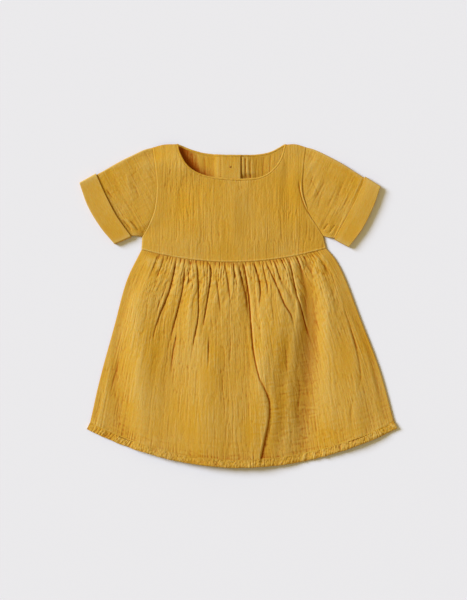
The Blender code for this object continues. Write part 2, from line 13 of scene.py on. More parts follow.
import bmesh
import bpy
import numpy as np
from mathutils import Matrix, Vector


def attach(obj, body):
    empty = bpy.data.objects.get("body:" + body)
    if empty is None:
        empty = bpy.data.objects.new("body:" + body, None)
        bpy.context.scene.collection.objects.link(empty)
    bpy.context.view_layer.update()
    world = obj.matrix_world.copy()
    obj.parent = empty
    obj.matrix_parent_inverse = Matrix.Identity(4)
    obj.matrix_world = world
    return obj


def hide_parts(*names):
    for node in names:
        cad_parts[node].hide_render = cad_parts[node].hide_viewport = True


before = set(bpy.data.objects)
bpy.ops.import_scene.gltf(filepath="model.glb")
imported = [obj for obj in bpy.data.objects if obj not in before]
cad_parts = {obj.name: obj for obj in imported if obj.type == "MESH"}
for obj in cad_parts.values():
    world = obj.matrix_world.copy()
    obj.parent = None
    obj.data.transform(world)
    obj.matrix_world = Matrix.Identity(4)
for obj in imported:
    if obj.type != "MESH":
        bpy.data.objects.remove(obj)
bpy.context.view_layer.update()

MM = 0.001

# -------- cloth and layers
CLOTH = 1.0
SEAM_HALF = 0.03  # half of the gap between two shells at a seam
REST_GAP = 0.3  # between two layers that lie on each other
FRONT_REST = CLOTH + REST_GAP
CUFF_CLOTH = 1.6
HEM_CLOTH = 1.6
HEM_TOP = 2 * HEM_CLOTH + REST_GAP + 0.15  # level of the front hem band
EDGE_ROLL = 1.5  # width over which a side edge rolls down to its seam
SHARP_ANGLE = 58.0  # a rim steeper than this keeps its edge
INNER_STEP = 4  # the hidden face of a shell has one point for this many of the fine face
HIDDEN_DEPTH = 0.85 * CLOTH  # how far the hidden face lies below the fine one
RIM_DEPTH = 0.35 * CLOTH  # the same along a shell's rim
LEVEL_SHADE = 0.35  # painted shade value of level cloth: crests are painted lighter, creases darker

# -------- heights
BODICE_RISE = 4.4
WAIST_RISE = 2.8
SHOULDER_FADE = 35.0
SKIRT_LOFT = ((0.00, WAIST_RISE), (0.10, 2.5), (0.40, 1.9), (1.00, 1.2))  # share down, rise
BACK_GATHER_BULK = 1.8
NECK_LIFT = 4.6  # the front neck edge's highest rise off the back
NECK_LIFT_AT = (-76.0, 192.0)
ARMHOLE_SWELL = {"right": 2.2, "left": 1.9}
ARMHOLE_SWELL_WIDTH = {"bodice": 13.0, "sleeve": 21.0}

# -------- outline
NECK_TOP = 210.0
FRONT_NECK = (
    (-77.6, 209.8), (-75.5, 199.5), (-67.5, 184.5), (-55.5, 174.5), (-38.0, 168.0), (-8.0, 164.8),
    (19.0, 165.3), (35.0, 169.5), (47.5, 179.5), (55.5, 192.0), (60.8, 209.8),
)
BACK_NECK = (
    (-77.6, 209.8), (-62.0, 203.2), (-44.0, 198.2), (-22.0, 196.0),
    (4.0, 195.8), (24.0, 196.3), (41.0, 199.4), (52.0, 204.8), (60.8, 209.8),
)
SHOULDER_MIDDLE = {"right": (-96.0, 208.8), "left": (75.0, 209.4)}
ARMHOLE = {
    "right": (
        (-111.3, 205.0), (-107.2, 176.0), (-105.6, 150.0),
        (-108.8, 124.0), (-116.0, 105.0), (-124.6, 89.5),
    ),
    "left": (
        (88.3, 205.6), (85.2, 176.0), (84.2, 148.0),
        (92.5, 120.0), (102.0, 104.5), (111.2, 90.0),
    ),
}
ARMHOLE_SHARE = 0.87  # share of the bodice's side that the armhole takes up
SKIRT_SIDE = {
    "right": ((-145.0, 31.0), (-161.0, -28.0), (-179.0, -94.0)),
    "left": ((127.0, 59.0), (140.0, 33.0), (158.5, -16.0), (183.5, -82.0)),
}
WAIST = {"middle": -8.0, "lowest": 56.0, "radius": 417.0}  # a shallow bow
WAIST_ENDS = (-125.4, 114.8)
HEM = {"middle": 4.0, "lowest": -210.3, "radius": 405.0}
HEM_ENDS = (-196.5, 207.0)
HEM_BAND = 10.0
SLEEVE_FOLD = {
    "right": ((-122.5, 202.0), (-138.0, 194.6), (-162.0, 183.0)),
    "left": ((99.5, 202.4), (116.0, 194.6), (141.0, 181.5)),
}
UNDERARM_MIDDLE = {"right": (-131.0, 90.2), "left": (118.0, 88.0)}
CUFF_EDGE = {
    "right": ((-184.6, 171.5), (-171.7, 143.0), (-157.3, 115.7), (-138.1, 88.6)),
    "left": ((165.1, 167.5), (154.0, 139.5), (140.5, 113.5), (125.0, 85.5)),
}
SLEEVE_END = {
    "right": ((-206.0, 159.5), (-195.0, 129.0), (-178.5, 101.5), (-160.0, 79.3)),
    "left": ((185.2, 155.0), (175.5, 127.5), (161.5, 99.5), (143.6, 75.6)),
}

# -------- sleeves and cuffs
SLEEVE_LENGTH = 75.0  # cloth from the armhole to the cuff
SLEEVE_FLAT_HEIGHT = 2 * CLOTH + REST_GAP  # at the armhole
SLEEVE_HEIGHT_IN_CUFF = 2.6
SLEEVE_LOFT = {"right": 1.7, "left": 2.0}
SLEEVE_AT_CUFF = {"right": 0.0, "left": 0.45}  # how the sleeve swells beside the cuff
RING_ROUND = 1.6  # radius in plan of a flattened tube's folds
CUFF_WIDTH = 24.0
CUFF_LIFT = {"right": 0.3, "left": -0.6}  # rise of the cuff's open edge
CUFF_RIM_SHADE = {"right": 1.0, "left": 0.1}  # how much of its painted shade the cuff's rim keeps
CUFFED_LOW = CUFF_CLOTH + REST_GAP  # level of the sleeve inside its cuff
CUFF_ROWS = (  # share along the cuff, inset, drop of its edge
    (0.0, 0.45, 0.5),
    (0.0, 0.15, 0.2),
    (0.008, 0.0, 0.0),
    *((share, 0.0, 0.0) for share in np.linspace(0.03, 0.97, 25)),
    (0.985, 0.05, 0.1),
    (0.997, 0.3, 0.4),
    (1.0, 0.7, 0.9),
)
CUFF_INNER_ROWS = (  # the same, without a drop
    (1.0, CUFFED_LOW + CLOTH),
    (1.0 - CUFF_CLOTH / CUFF_WIDTH, CUFFED_LOW + CLOTH),
    (1.0 - CUFF_CLOTH / CUFF_WIDTH, CUFF_CLOTH),
    (0.5, CUFF_CLOTH),
    (0.0, CUFF_CLOTH),
)

# -------- back closure and binding
LAP_LEFT = -22.0
LAP_RIGHT = 3.9
LAP_RISE_LENGTH = 12.0
PLEATED_RISE = 1.9  # the pleated cloth beside the lap stands up by this in the neck opening
FACING_LEFT = -24.7
FACING_STITCH = 2.2  # distance of the topstitching from the facing's free edge
BUTTON_X = -10.3
BUTTON_YS = (180.0, 142.0, 104.0)
BUTTON_THICK = 1.4
RIDGE_FLAT = 9.0  # how far from the buttons' middle the cloth over them is level
RIDGE_END = 34.0  # and where it is down again
RIDGE_LEVEL_DOWN_TO = 96.0
RIDGE_FADES_OUT_AT = 62.0
BINDING_WIDTH = 2.4
BINDING_THICK = 1.3
BINDING_SIDES = 14
NECK_CUT = BINDING_WIDTH + 0.1  # the bodice stops this far outside the finished neck
FRONT_NECK_SHARES = (0.17, 0.86)  # shares of the front's top edge between which the neck lies
BACK_NECK_SHARES = {"right": 0.25, "left": 0.78}  # where a back's top edge turns from shoulder to neck

# -------- gathers and puckers
SKIRT_CUT = (440.0, 272.0)  # cloth width at the hem and length down the middle
GATHERS = 48
GATHERS_FROM, GATHERS_TO = 0.085, 0.965
GATHER_HEIGHT = (  # share down, height of a crest over its troughs
    (0.00, 1.0),
    (0.03, 1.6),
    (0.12, 1.5),
    (0.35, 1.0),
    (0.70, 0.6),
    (1.00, 0.3),
)
HEM_CUT = 430.0  # cloth length of the hem band
HEM_PUCKERS = 96
HEM_SEAM = 8.5  # distance in from the hem line of the seam's deepest row
HEM_LOW = HEM_CLOTH + REST_GAP  # level of the front band's underside
HEM_HIGH = HEM_LOW + HEM_CLOTH
HEM_ROWS = (  # distance in from the hem line, height, how much of the puckers shows
    (0.0, HEM_LOW - 0.1, 0.1),
    (-0.1, HEM_LOW + 0.5, 0.3),
    (0.4, HEM_HIGH - 0.6, 0.7),
    (1.1, HEM_HIGH - 0.1, 1.0),
    (2.2, HEM_HIGH + 0.1, 1.0),
    (3.4, HEM_HIGH + 0.2, 1.0),
    (4.6, HEM_HIGH + 0.1, 0.9),
    (5.8, HEM_HIGH, 0.9),
    (7.0, HEM_HIGH, 0.9),
    (7.9, HEM_HIGH, 0.8),
    (HEM_SEAM, HEM_HIGH, 0.8),
    (9.2, HEM_HIGH + 0.1, 0.6),
    (HEM_BAND - SEAM_HALF, HEM_HIGH + 0.15, 0.0),
    (HEM_BAND - SEAM_HALF, HEM_LOW, 0.0),
    (1.0, HEM_LOW - 0.2, 0.0),
)
HEM_BACK_ROWS = (  # the same, with the puckers as dents in its underside
    (0.0, 0.7, 0.0),
    (0.9, 0.0, 1.0),
    (5.0, 0.0, 1.0),
    (HEM_BAND, 0.1, 1.0),
    (HEM_BAND, 1.5, 0.0),
    (0.9, 1.5, 0.0),
)

# -------- folds
# Each fold: height (a ridge is positive, a crease negative), its width to the left and to the
# right, the share of its height that is a narrow groove, the shares of its length over which
# its top and its foot die out, and the points of its line from the top down.
GROOVE = 0.85  # half the width of that groove
SKIRT_FOLDS = (
    (-1.0, 0.9, 3.0, 0.4, 0.15, 0.6, ((-104, 66), (-107, 56), (-112, 44), (-117, 33))),
    (-1.2, 0.9, 3.5, 0.4, 0.15, 0.6, ((-95, 64), (-99, 52), (-104, 40), (-109, 28))),
    (-2.4, 0.9, 5.0, 0.4, 0.12, 0.4, ((-80, 62), (-82, 50), (-84, 38), (-90, 16), (-102, -14), (-113, -50))),
    (-1.0, 0.9, 3.0, 0.4, 0.3, 0.5, ((-88, 40), (-95, 20), (-103, 0), (-110, -25))),
    (-2.2, 0.9, 4.5, 0.4, 0.15, 0.4, ((-68, 54), (-70, 36), (-73, 15), (-82, -21), (-91, -56))),
    (-1.6, 0.9, 3.0, 0.4, 0.12, 0.4, ((-62, 59), (-62, 50), (-64, 41), (-64, 32), (-68, 20))),
    (-2.4, 0.9, 5.0, 0.4, 0.12, 0.4, ((-53, 58), (-52, 40), (-51, 6), (-52, -19), (-57, -45), (-62, -76))),
    (-2.3, 0.9, 4.0, 0.4, 0.1, 0.4, ((-40, 58), (-36, 50), (-35, 40), (-38, 18), (-42, -8), (-48, -42))),
    (-1.1, 0.9, 3.0, 0.4, 0.3, 0.5, ((-29, 45), (-27, 28), (-24, 3), (-22, -22))),
    (-1.1, 0.9, 3.5, 0.4, 0.4, 0.5, ((-38, -28), (-38, -58), (-39, -86))),
    (-1.3, 0.9, 3.5, 0.4, 0.3, 0.5, ((-78, -30), (-84, -60), (-88, -94))),
    (-1.2, 0.9, 3.0, 0.4, 0.15, 0.4, ((-18, 56), (-15, 42), (-12, 22), (-9, -4))),
    (-1.0, 0.9, 2.5, 0.4, 0.15, 0.5, ((-6, 56), (-5, 44), (-3, 30))),
    (-1.7, 1.0, 2.5, 0.4, 0.12, 0.4, ((1, 56), (3, 42), (8, 22), (11, 7), (13, -18))),
    (-3.2, 5.0, 1.2, 0.4, 0.08, 0.5, ((7, 57), (9, 46), (13, 22), (16, -8), (18, -50))),
    (-2.2, 0.9, 4.0, 0.4, 0.1, 0.5, ((19, 57), (23, 48), (27, 34), (29, 18), (28, 4), (27, -12))),
    (-1.5, 0.9, 2.5, 0.4, 0.15, 0.4, ((31, 58), (34, 44), (38, 24), (39, 8))),
    (-2.0, 0.9, 3.5, 0.3, 0.12, 0.5, ((36, 58), (41, 46), (51, 24), (60, 2), (70, -16), (75, -44))),
    (-1.5, 0.9, 3.0, 0.4, 0.15, 0.5, ((47, 60), (51, 46), (56, 32), (62, 16))),
    (-1.4, 0.9, 2.5, 0.4, 0.15, 0.5, ((56, 61), (60, 51), (65, 40))),
    (-2.6, 2.0, 2.0, 0.5, 0.08, 0.4, (
        (65, 63), (68, 53), (70, 44), (76, 15), (80, 3), (85, -16), (91, -36), (102, -66),
    )),
    (-2.8, 3.0, 1.2, 0.6, 0.08, 0.4, ((76, 65), (80, 53), (85, 38), (89, 25), (92, 12), (95, -10))),
    (-1.6, 0.9, 3.0, 0.4, 0.12, 0.5, ((85, 66), (89, 57), (94, 46), (98, 34))),
    (-1.0, 0.9, 3.0, 0.4, 0.15, 0.5, ((92, 68), (97, 58), (102, 48))),
    (-1.0, 0.9, 3.0, 0.4, 0.15, 0.6, ((100, 70), (104, 65), (114, 50), (124, 26))),
    # the long lap: a narrow crease, which lower down is the foot of the cloth that laps over it
    (-1.8, 1.6, 1.4, 0.6, 0.1, 0.3, ((17, -20), (19, -50), (22, -70), (26, -88), (31, -103), (37, -114))),
    (-1.6, 1.0, 5.0, 0.3, 0.2, 0.02, (
        (26, -88), (37, -114), (41, -128), (40, -148), (36, -168), (30, -199),
    )),
    (-1.0, 1.5, 3.0, 0.4, 0.3, 0.4, ((134, 23), (139, -6), (147, -31), (156, -67), (159, -98), (148, -123))),
    (-1.0, 3.0, 3.5, 0.2, 0.4, 0.5, ((-153, -58), (-155, -71), (-160, -92), (-168, -122))),
    (-0.6, 1.2, 3.0, 0.2, 0.4, 0.5, ((78, -60), (76, -85), (80, -110), (77, -140), (80, -165))),
    (-0.6, 1.2, 3.0, 0.2, 0.4, 0.5, ((60, -40), (63, -75), (64, -100))),
    (-0.7, 1.5, 1.5, 0.4, 0.4, 0.5, ((-12, -5), (-9, -40), (-11, -75), (-8, -105))),
    (-0.5, 1.2, 3.0, 0.2, 0.4, 0.5, ((114, -40), (119, -75), (121, -110), (126, -140))),
    (-0.6, 1.2, 3.0, 0.2, 0.4, 0.5, ((150, -115), (146, -140), (149, -170))),
)
# The broad folds of the skirt, as crests and troughs from the wearer's right to the left. Each
# has its x and its height at every row of LEVEL_ROWS; the cloth swings from one to the next.
LEVEL_SCALE = 1.2
LEVEL_ROWS = (46.0, 7.0, -32.0, -71.0, -110.0, -149.0, -188.0, -206.0)
LEVELS = (
    ((-128, 0.0), (-151, 0.0), (-162, 0.0), (-173, 0.0), (-182, 0.0), (-190, 0.0), (-195, 0.0), (-197, 0.0)),
    ((-126, 0.2), (-149, 0.4), (-161, 0.9), (-168, 1.2), (-174, 1.3), (-180, 0.9), (-186, 0.4), (-192, 0.2)),
    ((-124, 0.4), (-147, 0.5), (-158, 0.6), (-161, 0.7), (-160, 0.6), (-157, 0.5), (-150, 0.3), (-145, 0.2)),
    ((-112, 1.2), (-127, 3.8), (-127, 5.8), (-124, 7.0), (-123, 6.8), (-119, 5.3), (-116, 3.5), (-114, 1.9)),
    ((-75, 0.9), (-73, 2.6), (-86, 3.4), (-89, 4.7), (-90, 5.6), (-91, 5.7), (-92, 4.2), (-92, 2.6)),
    ((-60, 1.1), (-60, 4.0), (-56, 6.6), (-36, 9.2), (-37, 9.9), (-36, 9.9), (-32, 7.6), (-30, 5.4)),
    ((-5, 0.6), (-3, 3.2), (-9, 5.4), (-13, 7.3), (-12, 8.3), (-10, 8.8), (-8, 6.8), (-8, 5.0)),
    ((11, 0.4), (13, 1.7), (12, 4.0), (15, 5.9), (13, 7.6), (12, 8.2), (12, 6.6), (12, 5.0)),
    ((30, 0.7), (38, 3.5), (40, 7.0), (36, 8.7), (32, 8.9), (38, 8.7), (29, 6.5), (26, 5.1)),
    ((45, 1.3), (56, 3.7), (52, 7.0), (46, 7.9), (40, 7.9), (44, 7.2), (34, 5.1), (30, 4.1)),
    ((68, 1.2), (78, 2.5), (72, 5.0), (66, 4.7), (62, 4.6), (62, 3.8), (60, 3.0), (60, 2.3)),
    ((90, -1.4), (92, -2.3), (96, -1.9), (95, -1.5), (91, -1.2), (88, -1.0), (86, -0.2), (86, 0.2)),
    ((104, 0.8), (118, 3.2), (118, 3.9), (122, 3.5), (124, 3.2), (126, 3.1), (128, 2.0), (130, 1.3)),
    ((112, 0.6), (132, 1.9), (143, 2.5), (150, 3.3), (151, 3.7), (152, 3.8), (152, 2.7), (152, 1.5)),
    ((123, 0.3), (141, 1.0), (156, 1.5), (169, 1.5), (175, 1.5), (179, 1.5), (182, 1.1), (184, 0.6)),
    ((133, 0.0), (150, 0.0), (165, 0.0), (179, 0.0), (190, 0.0), (198, 0.0), (204, 0.0), (206, 0.0)),
)
BODICE_FOLDS = (
    (1.3, 22.0, 10.0, 0.0, 0.3, 0.4, ((-5, 160), (-5, 130), (-6, 100), (-7, 70))),
    (-0.4, 5.0, 8.0, 0.0, 0.2, 0.4, ((13, 160), (14, 130), (13, 100), (10, 75))),
    (1.1, 17.0, 26.0, 0.0, 0.35, 0.4, ((-40, 172), (-40, 150), (-41, 120), (-42, 90))),
    (1.2, 14.0, 10.0, 0.0, 0.3, 0.3, ((72, 190), (72, 150), (76, 120), (78, 80))),
    (-0.5, 5.0, 5.0, 0.0, 0.3, 0.4, ((-70, 175), (-71, 140), (-72, 110))),
    (0.5, 6.0, 6.0, 0.0, 0.3, 0.4, ((48, 165), (50, 130), (52, 90))),
    (-0.5, 5.0, 5.0, 0.0, 0.3, 0.4, ((64, 190), (62, 160), (60, 120))),
    (-1.2, 1.4, 1.0, 0.6, 0.2, 0.3, ((79, 165), (80, 152), (84, 136), (91, 121), (102, 106))),
    (0.8, 2.5, 2.5, 0.0, 0.3, 0.3, ((82, 160), (82, 148), (86, 134), (93, 121))),
    (-0.5, 0.8, 0.8, 0.4, 0.3, 0.5, ((-87, 178), (-88, 172), (-89, 166))),
    (-0.4, 0.9, 0.9, 0.4, 0.3, 0.5, ((-70, 172), (-71, 160), (-70, 150))),
    (-0.4, 0.9, 0.9, 0.4, 0.3, 0.5, ((-57, 150), (-57, 135), (-58, 120))),
)
BACK_FOLDS = (  # pleats beside the placket
    (-1.2, 1.6, 0.9, 0.6, 0.1, 0.1, ((10, 197), (10, 180), (11, 160), (11, 130))),
    (-0.8, 1.6, 0.9, 0.6, 0.2, 0.1, ((17, 196), (16, 180), (17, 160), (17, 140))),
    (0.2, 1.8, 1.8, 0.0, 0.1, 0.1, ((14, 197), (13, 180), (14, 160), (14, 140))),
    (-0.45, 1.4, 0.9, 0.6, 0.2, 0.1, ((25, 196), (24, 180), (24, 150))),
    (-0.6, 1.4, 0.9, 0.6, 0.2, 0.1, ((34, 198), (33, 182), (32, 150))),
    (-0.5, 1.4, 0.9, 0.6, 0.2, 0.1, ((44, 201), (42, 188), (41, 150))),
    (-0.5, 2.0, 1.4, 0.4, 0.2, 0.1, ((-44, 198), (-43, 184), (-42, 150))),
)
SLEEVE_FOLDS = {
    "right": (
        (-0.9, 1.5, 2.0, 0.3, 0.4, 0.4, ((-173, 154), (-166, 144), (-159, 135))),
        (0.7, 5.0, 5.0, 0.0, 0.3, 0.4, ((-146, 178), (-140, 150), (-133, 125))),
        (-0.5, 1.2, 2.0, 0.4, 0.3, 0.4, ((-134, 158), (-131, 148), (-127, 138))),
        (-1.1, 1.2, 2.5, 0.4, 0.3, 0.3, ((-151, 113), (-144, 105), (-137, 96))),
        (-1.1, 1.2, 2.5, 0.4, 0.3, 0.3, ((-142, 112), (-134, 104), (-128, 95))),
        (0.8, 2.5, 2.5, 0.0, 0.3, 0.3, ((-147, 115), (-139, 105), (-132, 97))),
    ),
    "left": (
        (-0.45, 1.0, 3.0, 0.3, 0.4, 0.4, ((116, 169), (108, 152), (97, 132))),
        (-0.4, 1.0, 3.0, 0.3, 0.3, 0.4, ((92, 168), (101, 152), (107, 136))),
        (0.3, 3.0, 3.0, 0.0, 0.3, 0.3, ((111, 168), (103, 152), (93, 134))),
        (-0.5, 1.0, 2.0, 0.5, 0.3, 0.4, ((98, 172), (95, 160), (89, 148))),
        (-0.4, 2.0, 3.0, 0.3, 0.3, 0.4, ((124, 142), (119, 134), (115, 124))),
        (-0.5, 3.0, 3.0, 0.0, 0.3, 0.4, ((138, 168), (130, 140), (124, 118))),
        (-0.9, 1.2, 2.0, 0.4, 0.3, 0.3, ((127, 106), (122, 99), (118, 93))),
        (-0.8, 1.2, 2.0, 0.4, 0.3, 0.3, ((118, 108), (114, 102), (110, 97))),
    ),
}

# -------- crinkle
LATTICE = 256  # cells after which the noise repeats
CRINKLE_PITCH = 2.7  # distance from one crinkle to the next
CRINKLE_RUN = 34.0  # how far a crinkle runs before it dies out or turns
CRINKLE_HEIGHT = 0.45

# -------- colours, linear
GAUZE = (0.545, 0.284, 0.017, 1.0)
# pale tone of the cloth's random tone and the buttons' cloud, and also the painted highlight on crests
PALE_GAUZE_AND_PAINTED_HIGHLIGHT = (0.58, 0.392, 0.116, 1.0)
# dark tone of the gauze's flecks and the thread's twist, and also the painted shade in creases
DARK_GAUZE_AND_PAINTED_SHADE = (0.34, 0.075, 0.0, 1.0)
THREAD = (0.52, 0.28, 0.035, 1.0)
BUTTON = (0.50, 0.28, 0.04, 1.0)
FLOOR = (0.779, 0.788, 0.904, 1.0)

# -------- camera, in the photo's frame
PHOTO_SIZE = (467, 600)  # pixels
PIXEL = 1.3  # millimetres of the dress's plane to a pixel of the photo
ORIGIN_PIXEL = (238.0, 305.5)  # where the frame's origin lies in the photo
CAMERA_DISTANCE = 2400.0
SENSOR = 36.0

# -------- light
KEY_TURN = 154.0  # degrees round from +X
KEY_RISE = 29.0
KEY_SOFTNESS = 26.0
KEY_POWER = 4.13
KEY_COLOUR = (0.905, 1.02, 1.18)
ROOM_POWER = 0.40
ROOM_COLOUR = (1.20, 0.96, 0.42, 1.0)

# -------- floor, in metres
FLOOR_SIZE = 8.0
FLOOR_LEVEL = -0.0002

# -------- curves
CURVE_STEPS = 40  # points from one given point of a curve to the next
EDGE_STEP = 0.002  # share of an edge, each way, over which its direction is taken


# ======== plan: edges and patches
def smoothstep(value, start, end):
    share = np.clip((value - start) / (end - start), 0.0, 1.0)
    return share * share * (3.0 - 2.0 * share)


def plateau(value, rise, top, fall, end):
    """0 up to rise, 1 from top to fall, and 0 again from end on."""
    return smoothstep(value, rise, top) * (1.0 - smoothstep(value, fall, end))


def bell(offset, width):
    """1 where offset is 0, about a third at one width, and soon 0 beyond it."""
    return np.exp(-((offset / width) ** 2))


def table_value(table, column):
    places, values = zip(*table)
    return np.interp(column, places, values)


def smooth_points(points):
    """Dense points of a smooth curve through the given ones."""
    given = np.array(points, float)
    given = np.vstack([2 * given[0] - given[1], given, 2 * given[-1] - given[-2]])
    t = np.linspace(0.0, 1.0, CURVE_STEPS, endpoint=False)[:, None]
    spans = []
    for a, b, c, d in zip(given, given[1:], given[2:], given[3:]):
        linear = (c - a) * t
        square = (2 * a - 5 * b + 4 * c - d) * t**2
        cube = (3 * b - a - 3 * c + d) * t**3
        spans.append(0.5 * (2 * b + linear + square + cube))
    return np.vstack([*spans, given[-2:-1]])


def smooth_edge(points):
    """A smooth curve through points, as a function of the share of its length."""
    dense = smooth_points(points)
    steps = np.linalg.norm(np.diff(dense, axis=0), axis=1)
    run = np.concatenate([[0.0], np.cumsum(steps)]) / steps.sum()

    def at(share):
        return np.stack([np.interp(share, run, dense[:, k]) for k in (0, 1)], axis=-1)

    return at


def bow(curve, x_from, x_to):
    def at(share):
        x = x_from + (x_to - x_from) * np.asarray(share, float)
        y = curve["lowest"] + (x - curve["middle"]) ** 2 / (2 * curve["radius"])
        return np.stack([x, y], axis=-1)

    return at


def joined(*parts):
    """Edges end to end. Each part is (the share where it ends, edge)."""

    def at(share):
        share = np.asarray(share, float)
        result = np.zeros(share.shape + (2,))
        start = 0.0
        for end, edge in parts:
            inside = ((share >= start) & (share <= end))[..., None]
            local = np.clip((share - start) / (end - start), 0.0, 1.0)
            result = np.where(inside, edge(local), result)
            start = end
        return result

    return at


def shifted(edge, distance):
    """The edge moved sideways, to the left of its direction where distance is positive."""

    def at(share):
        share = np.asarray(share, float)
        along = edge(np.clip(share + EDGE_STEP, 0.0, 1.0)) - edge(np.clip(share - EDGE_STEP, 0.0, 1.0))
        along /= np.linalg.norm(along, axis=-1, keepdims=True)
        return edge(share) + distance * np.stack([-along[..., 1], along[..., 0]], axis=-1)

    return at


def reverse(edge):
    return lambda share: edge(1.0 - np.asarray(share, float))


def stretch_of(edge, start, end):
    return lambda share: edge(start + (end - start) * np.asarray(share, float))


def share_at_x(edge, x):
    shares = np.linspace(0.0, 1.0, 2001)
    return float(np.interp(x, edge(shares)[:, 0], shares))


def patch(top, bottom, left, right):
    """A Coons patch between four edges that meet: plan position at share u across and v down."""

    def at(u, v):
        u, v = np.broadcast_arrays(np.asarray(u, float), np.asarray(v, float))
        across, down = u[..., None], v[..., None]
        from_ends = (1 - down) * top(u) + down * bottom(u)
        from_sides = (1 - across) * left(v) + across * right(v)
        upper = (1 - across) * top(0.0) + across * top(1.0)
        lower = (1 - across) * bottom(0.0) + across * bottom(1.0)
        return from_ends + from_sides - (1 - down) * upper - down * lower

    return at


def shares(count, step=INNER_STEP):
    """Even shares from 0 to 1, as many as fit a hidden face of every step-th point."""
    whole = math.ceil((count - 1) / step) * step + 1
    return np.linspace(0.0, 1.0, whole)


def spaced(*runs):
    """Shares from 0 to 1. Each run is (the share where it ends, how many steps it takes)."""
    made, start = [0.0], 0.0
    for end, steps in runs:
        made.extend(np.linspace(start, end, steps + 1)[1:])
        start = end
    return np.array(made)


# ======== relief
def noise(a, b, seed):
    """Smooth noise from -1 to 1 with one lattice cell to each unit of a and b."""
    a, b = np.broadcast_arrays(np.asarray(a, float), np.asarray(b, float))
    lattice = np.random.default_rng(seed).uniform(-1.0, 1.0, (LATTICE, LATTICE))
    i, j = np.floor(a).astype(int), np.floor(b).astype(int)
    s, t = a - i, b - j
    s = s * s * s * (s * (6 * s - 15) + 10)
    t = t * t * t * (t * (6 * t - 15) + 10)

    def corner(right, up):
        return lattice[(i + right) % LATTICE, (j + up) % LATTICE]

    near = corner(0, 0) * (1 - s) + corner(1, 0) * s
    far = corner(0, 1) * (1 - s) + corner(1, 1) * s
    return near * (1 - t) + far * t


def crinkle(across, along, seed):
    """The gauze's crinkle: narrow creases that wander and break, with rounded cloth between."""
    wander = 0.7 * noise(across / 21, along / 34, seed)
    s = across + wander
    line = noise(s / CRINKLE_PITCH, along / CRINKLE_RUN, seed + 1)
    crease = -((1.0 - np.abs(line)) ** 5)
    soft = noise(s / (0.6 * CRINKLE_PITCH), along / (0.7 * CRINKLE_RUN), seed + 2)
    wide = noise(s / (4.2 * CRINKLE_PITCH), along / (2.2 * CRINKLE_RUN), seed + 5)
    crumb = noise(across / 1.6, along / 2.6, seed + 3)
    strength = 0.85 + 0.5 * noise(across / 33, along / 40, seed + 4)
    return CRINKLE_HEIGHT * (strength * (0.75 * crease + 0.30 * soft + 0.16 * crumb) + 0.5 * wide)


def crumple(across, along, seed):
    """Short creases across the cloth, where it was pressed the other way."""
    bend = 2.0 * noise(across / 18, along / 12, seed)
    line = noise((along + bend) / 3.4, across / 15, seed + 1)
    return -0.34 * (1.0 - np.abs(line)) ** 5 + 0.12 * line


def level_relief(plan):
    """The broad folds: at each height, a smooth swing between neighbouring crests and troughs."""
    x, y = plan[..., 0], plan[..., 1]
    rows = np.array(LEVEL_ROWS)[::-1]
    lines = []
    for line in LEVELS:
        place, height = np.array(line, float)[::-1].T
        lines.append((smooth_row(y, rows, place), LEVEL_SCALE * smooth_row(y, rows, height)))
    total = np.zeros(x.shape)
    for (left, low), (right, high) in zip(lines, lines[1:]):
        inside = (x >= left) & (x < right)
        swing = smoothstep((x - left) / (right - left), 0.0, 1.0)
        total = np.where(inside, low + (high - low) * swing, total)
    return total


def smooth_row(y, rows, values):
    """A smooth curve through values at the rows, read at y."""
    fine = np.linspace(rows[0], rows[-1], 200)
    shape = np.interp(fine, rows, values)
    kernel = np.hanning(25) / np.hanning(25).sum()
    shape = np.convolve(np.pad(shape, 12, mode="edge"), kernel, mode="valid")
    return np.interp(y, fine, shape)


def fold_relief(plan, folds):
    """The folds of one table, each measured from its line, which runs down the cloth."""
    total = np.zeros(plan.shape[:-1])
    x, y = plan[..., 0], plan[..., 1]
    for height, left, right, groove, top_fade, foot_fade, points in folds:
        line = smooth_points(points)[::-1]
        slope = np.gradient(line[:, 0], line[:, 1])
        lean = 1.0 / np.sqrt(1.0 + np.interp(y, line[:, 1], slope) ** 2)
        off = (x - np.interp(y, line[:, 1], line[:, 0])) * lean
        share = (line[-1, 1] - y) / (line[-1, 1] - line[0, 1])
        ends = plateau(share, 0.0, top_fade, 1.0 - foot_fade, 1.0)
        width = np.where(off < 0.0, left, right)
        narrow = groove * np.exp(-((np.abs(off) / GROOVE) ** 1.4))
        total += height * ends * (narrow + (1.0 - groove) * np.exp(-((np.abs(off) / width) ** 1.5)))
    return total


def crown(u, power):
    """1 in the middle and 0 at both sides."""
    return 1.0 - np.abs(2.0 * u - 1.0) ** power


def ridge_height(plan):
    """How far the buttons lift the cloth that lies over them."""
    across = 1.0 - smoothstep(np.abs(plan[..., 0] - BUTTON_X), RIDGE_FLAT, RIDGE_END)
    down = smoothstep(plan[..., 1], RIDGE_FADES_OUT_AT, RIDGE_LEVEL_DOWN_TO)
    return (BUTTON_THICK + REST_GAP) * across * down


def lap_share(plan):
    """0 beside the outer lap and 1 on top of it."""
    return smoothstep(plan[..., 0], LAP_LEFT - LAP_RISE_LENGTH, LAP_LEFT - 2.0)


def front_bodice_low(u, v, plan):
    """Level of the front bodice's underside."""
    level = BODICE_RISE + (WAIST_RISE - BODICE_RISE) * smoothstep(v, 0.72, 1.0)
    top = smoothstep(NECK_TOP - plan[..., 1], 0.0, SHOULDER_FADE)
    return FRONT_REST + crown(u, 1.8) * top * level


def back_bulk(u, v):
    """What the back skirt's gathers add to the height of the front skirt."""
    return BACK_GATHER_BULK * crown(u, 6.0) * plateau(v, 0.0, 0.045, 0.1, 0.6)


def edge_distance(plan):
    """Distance in plan from each point to the left, right, top and bottom edges of its grid."""
    return (
        np.linalg.norm(plan - plan[:, :1], axis=-1),
        np.linalg.norm(plan - plan[:, -1:], axis=-1),
        np.linalg.norm(plan - plan[:1], axis=-1),
        np.linalg.norm(plan - plan[-1:], axis=-1),
    )


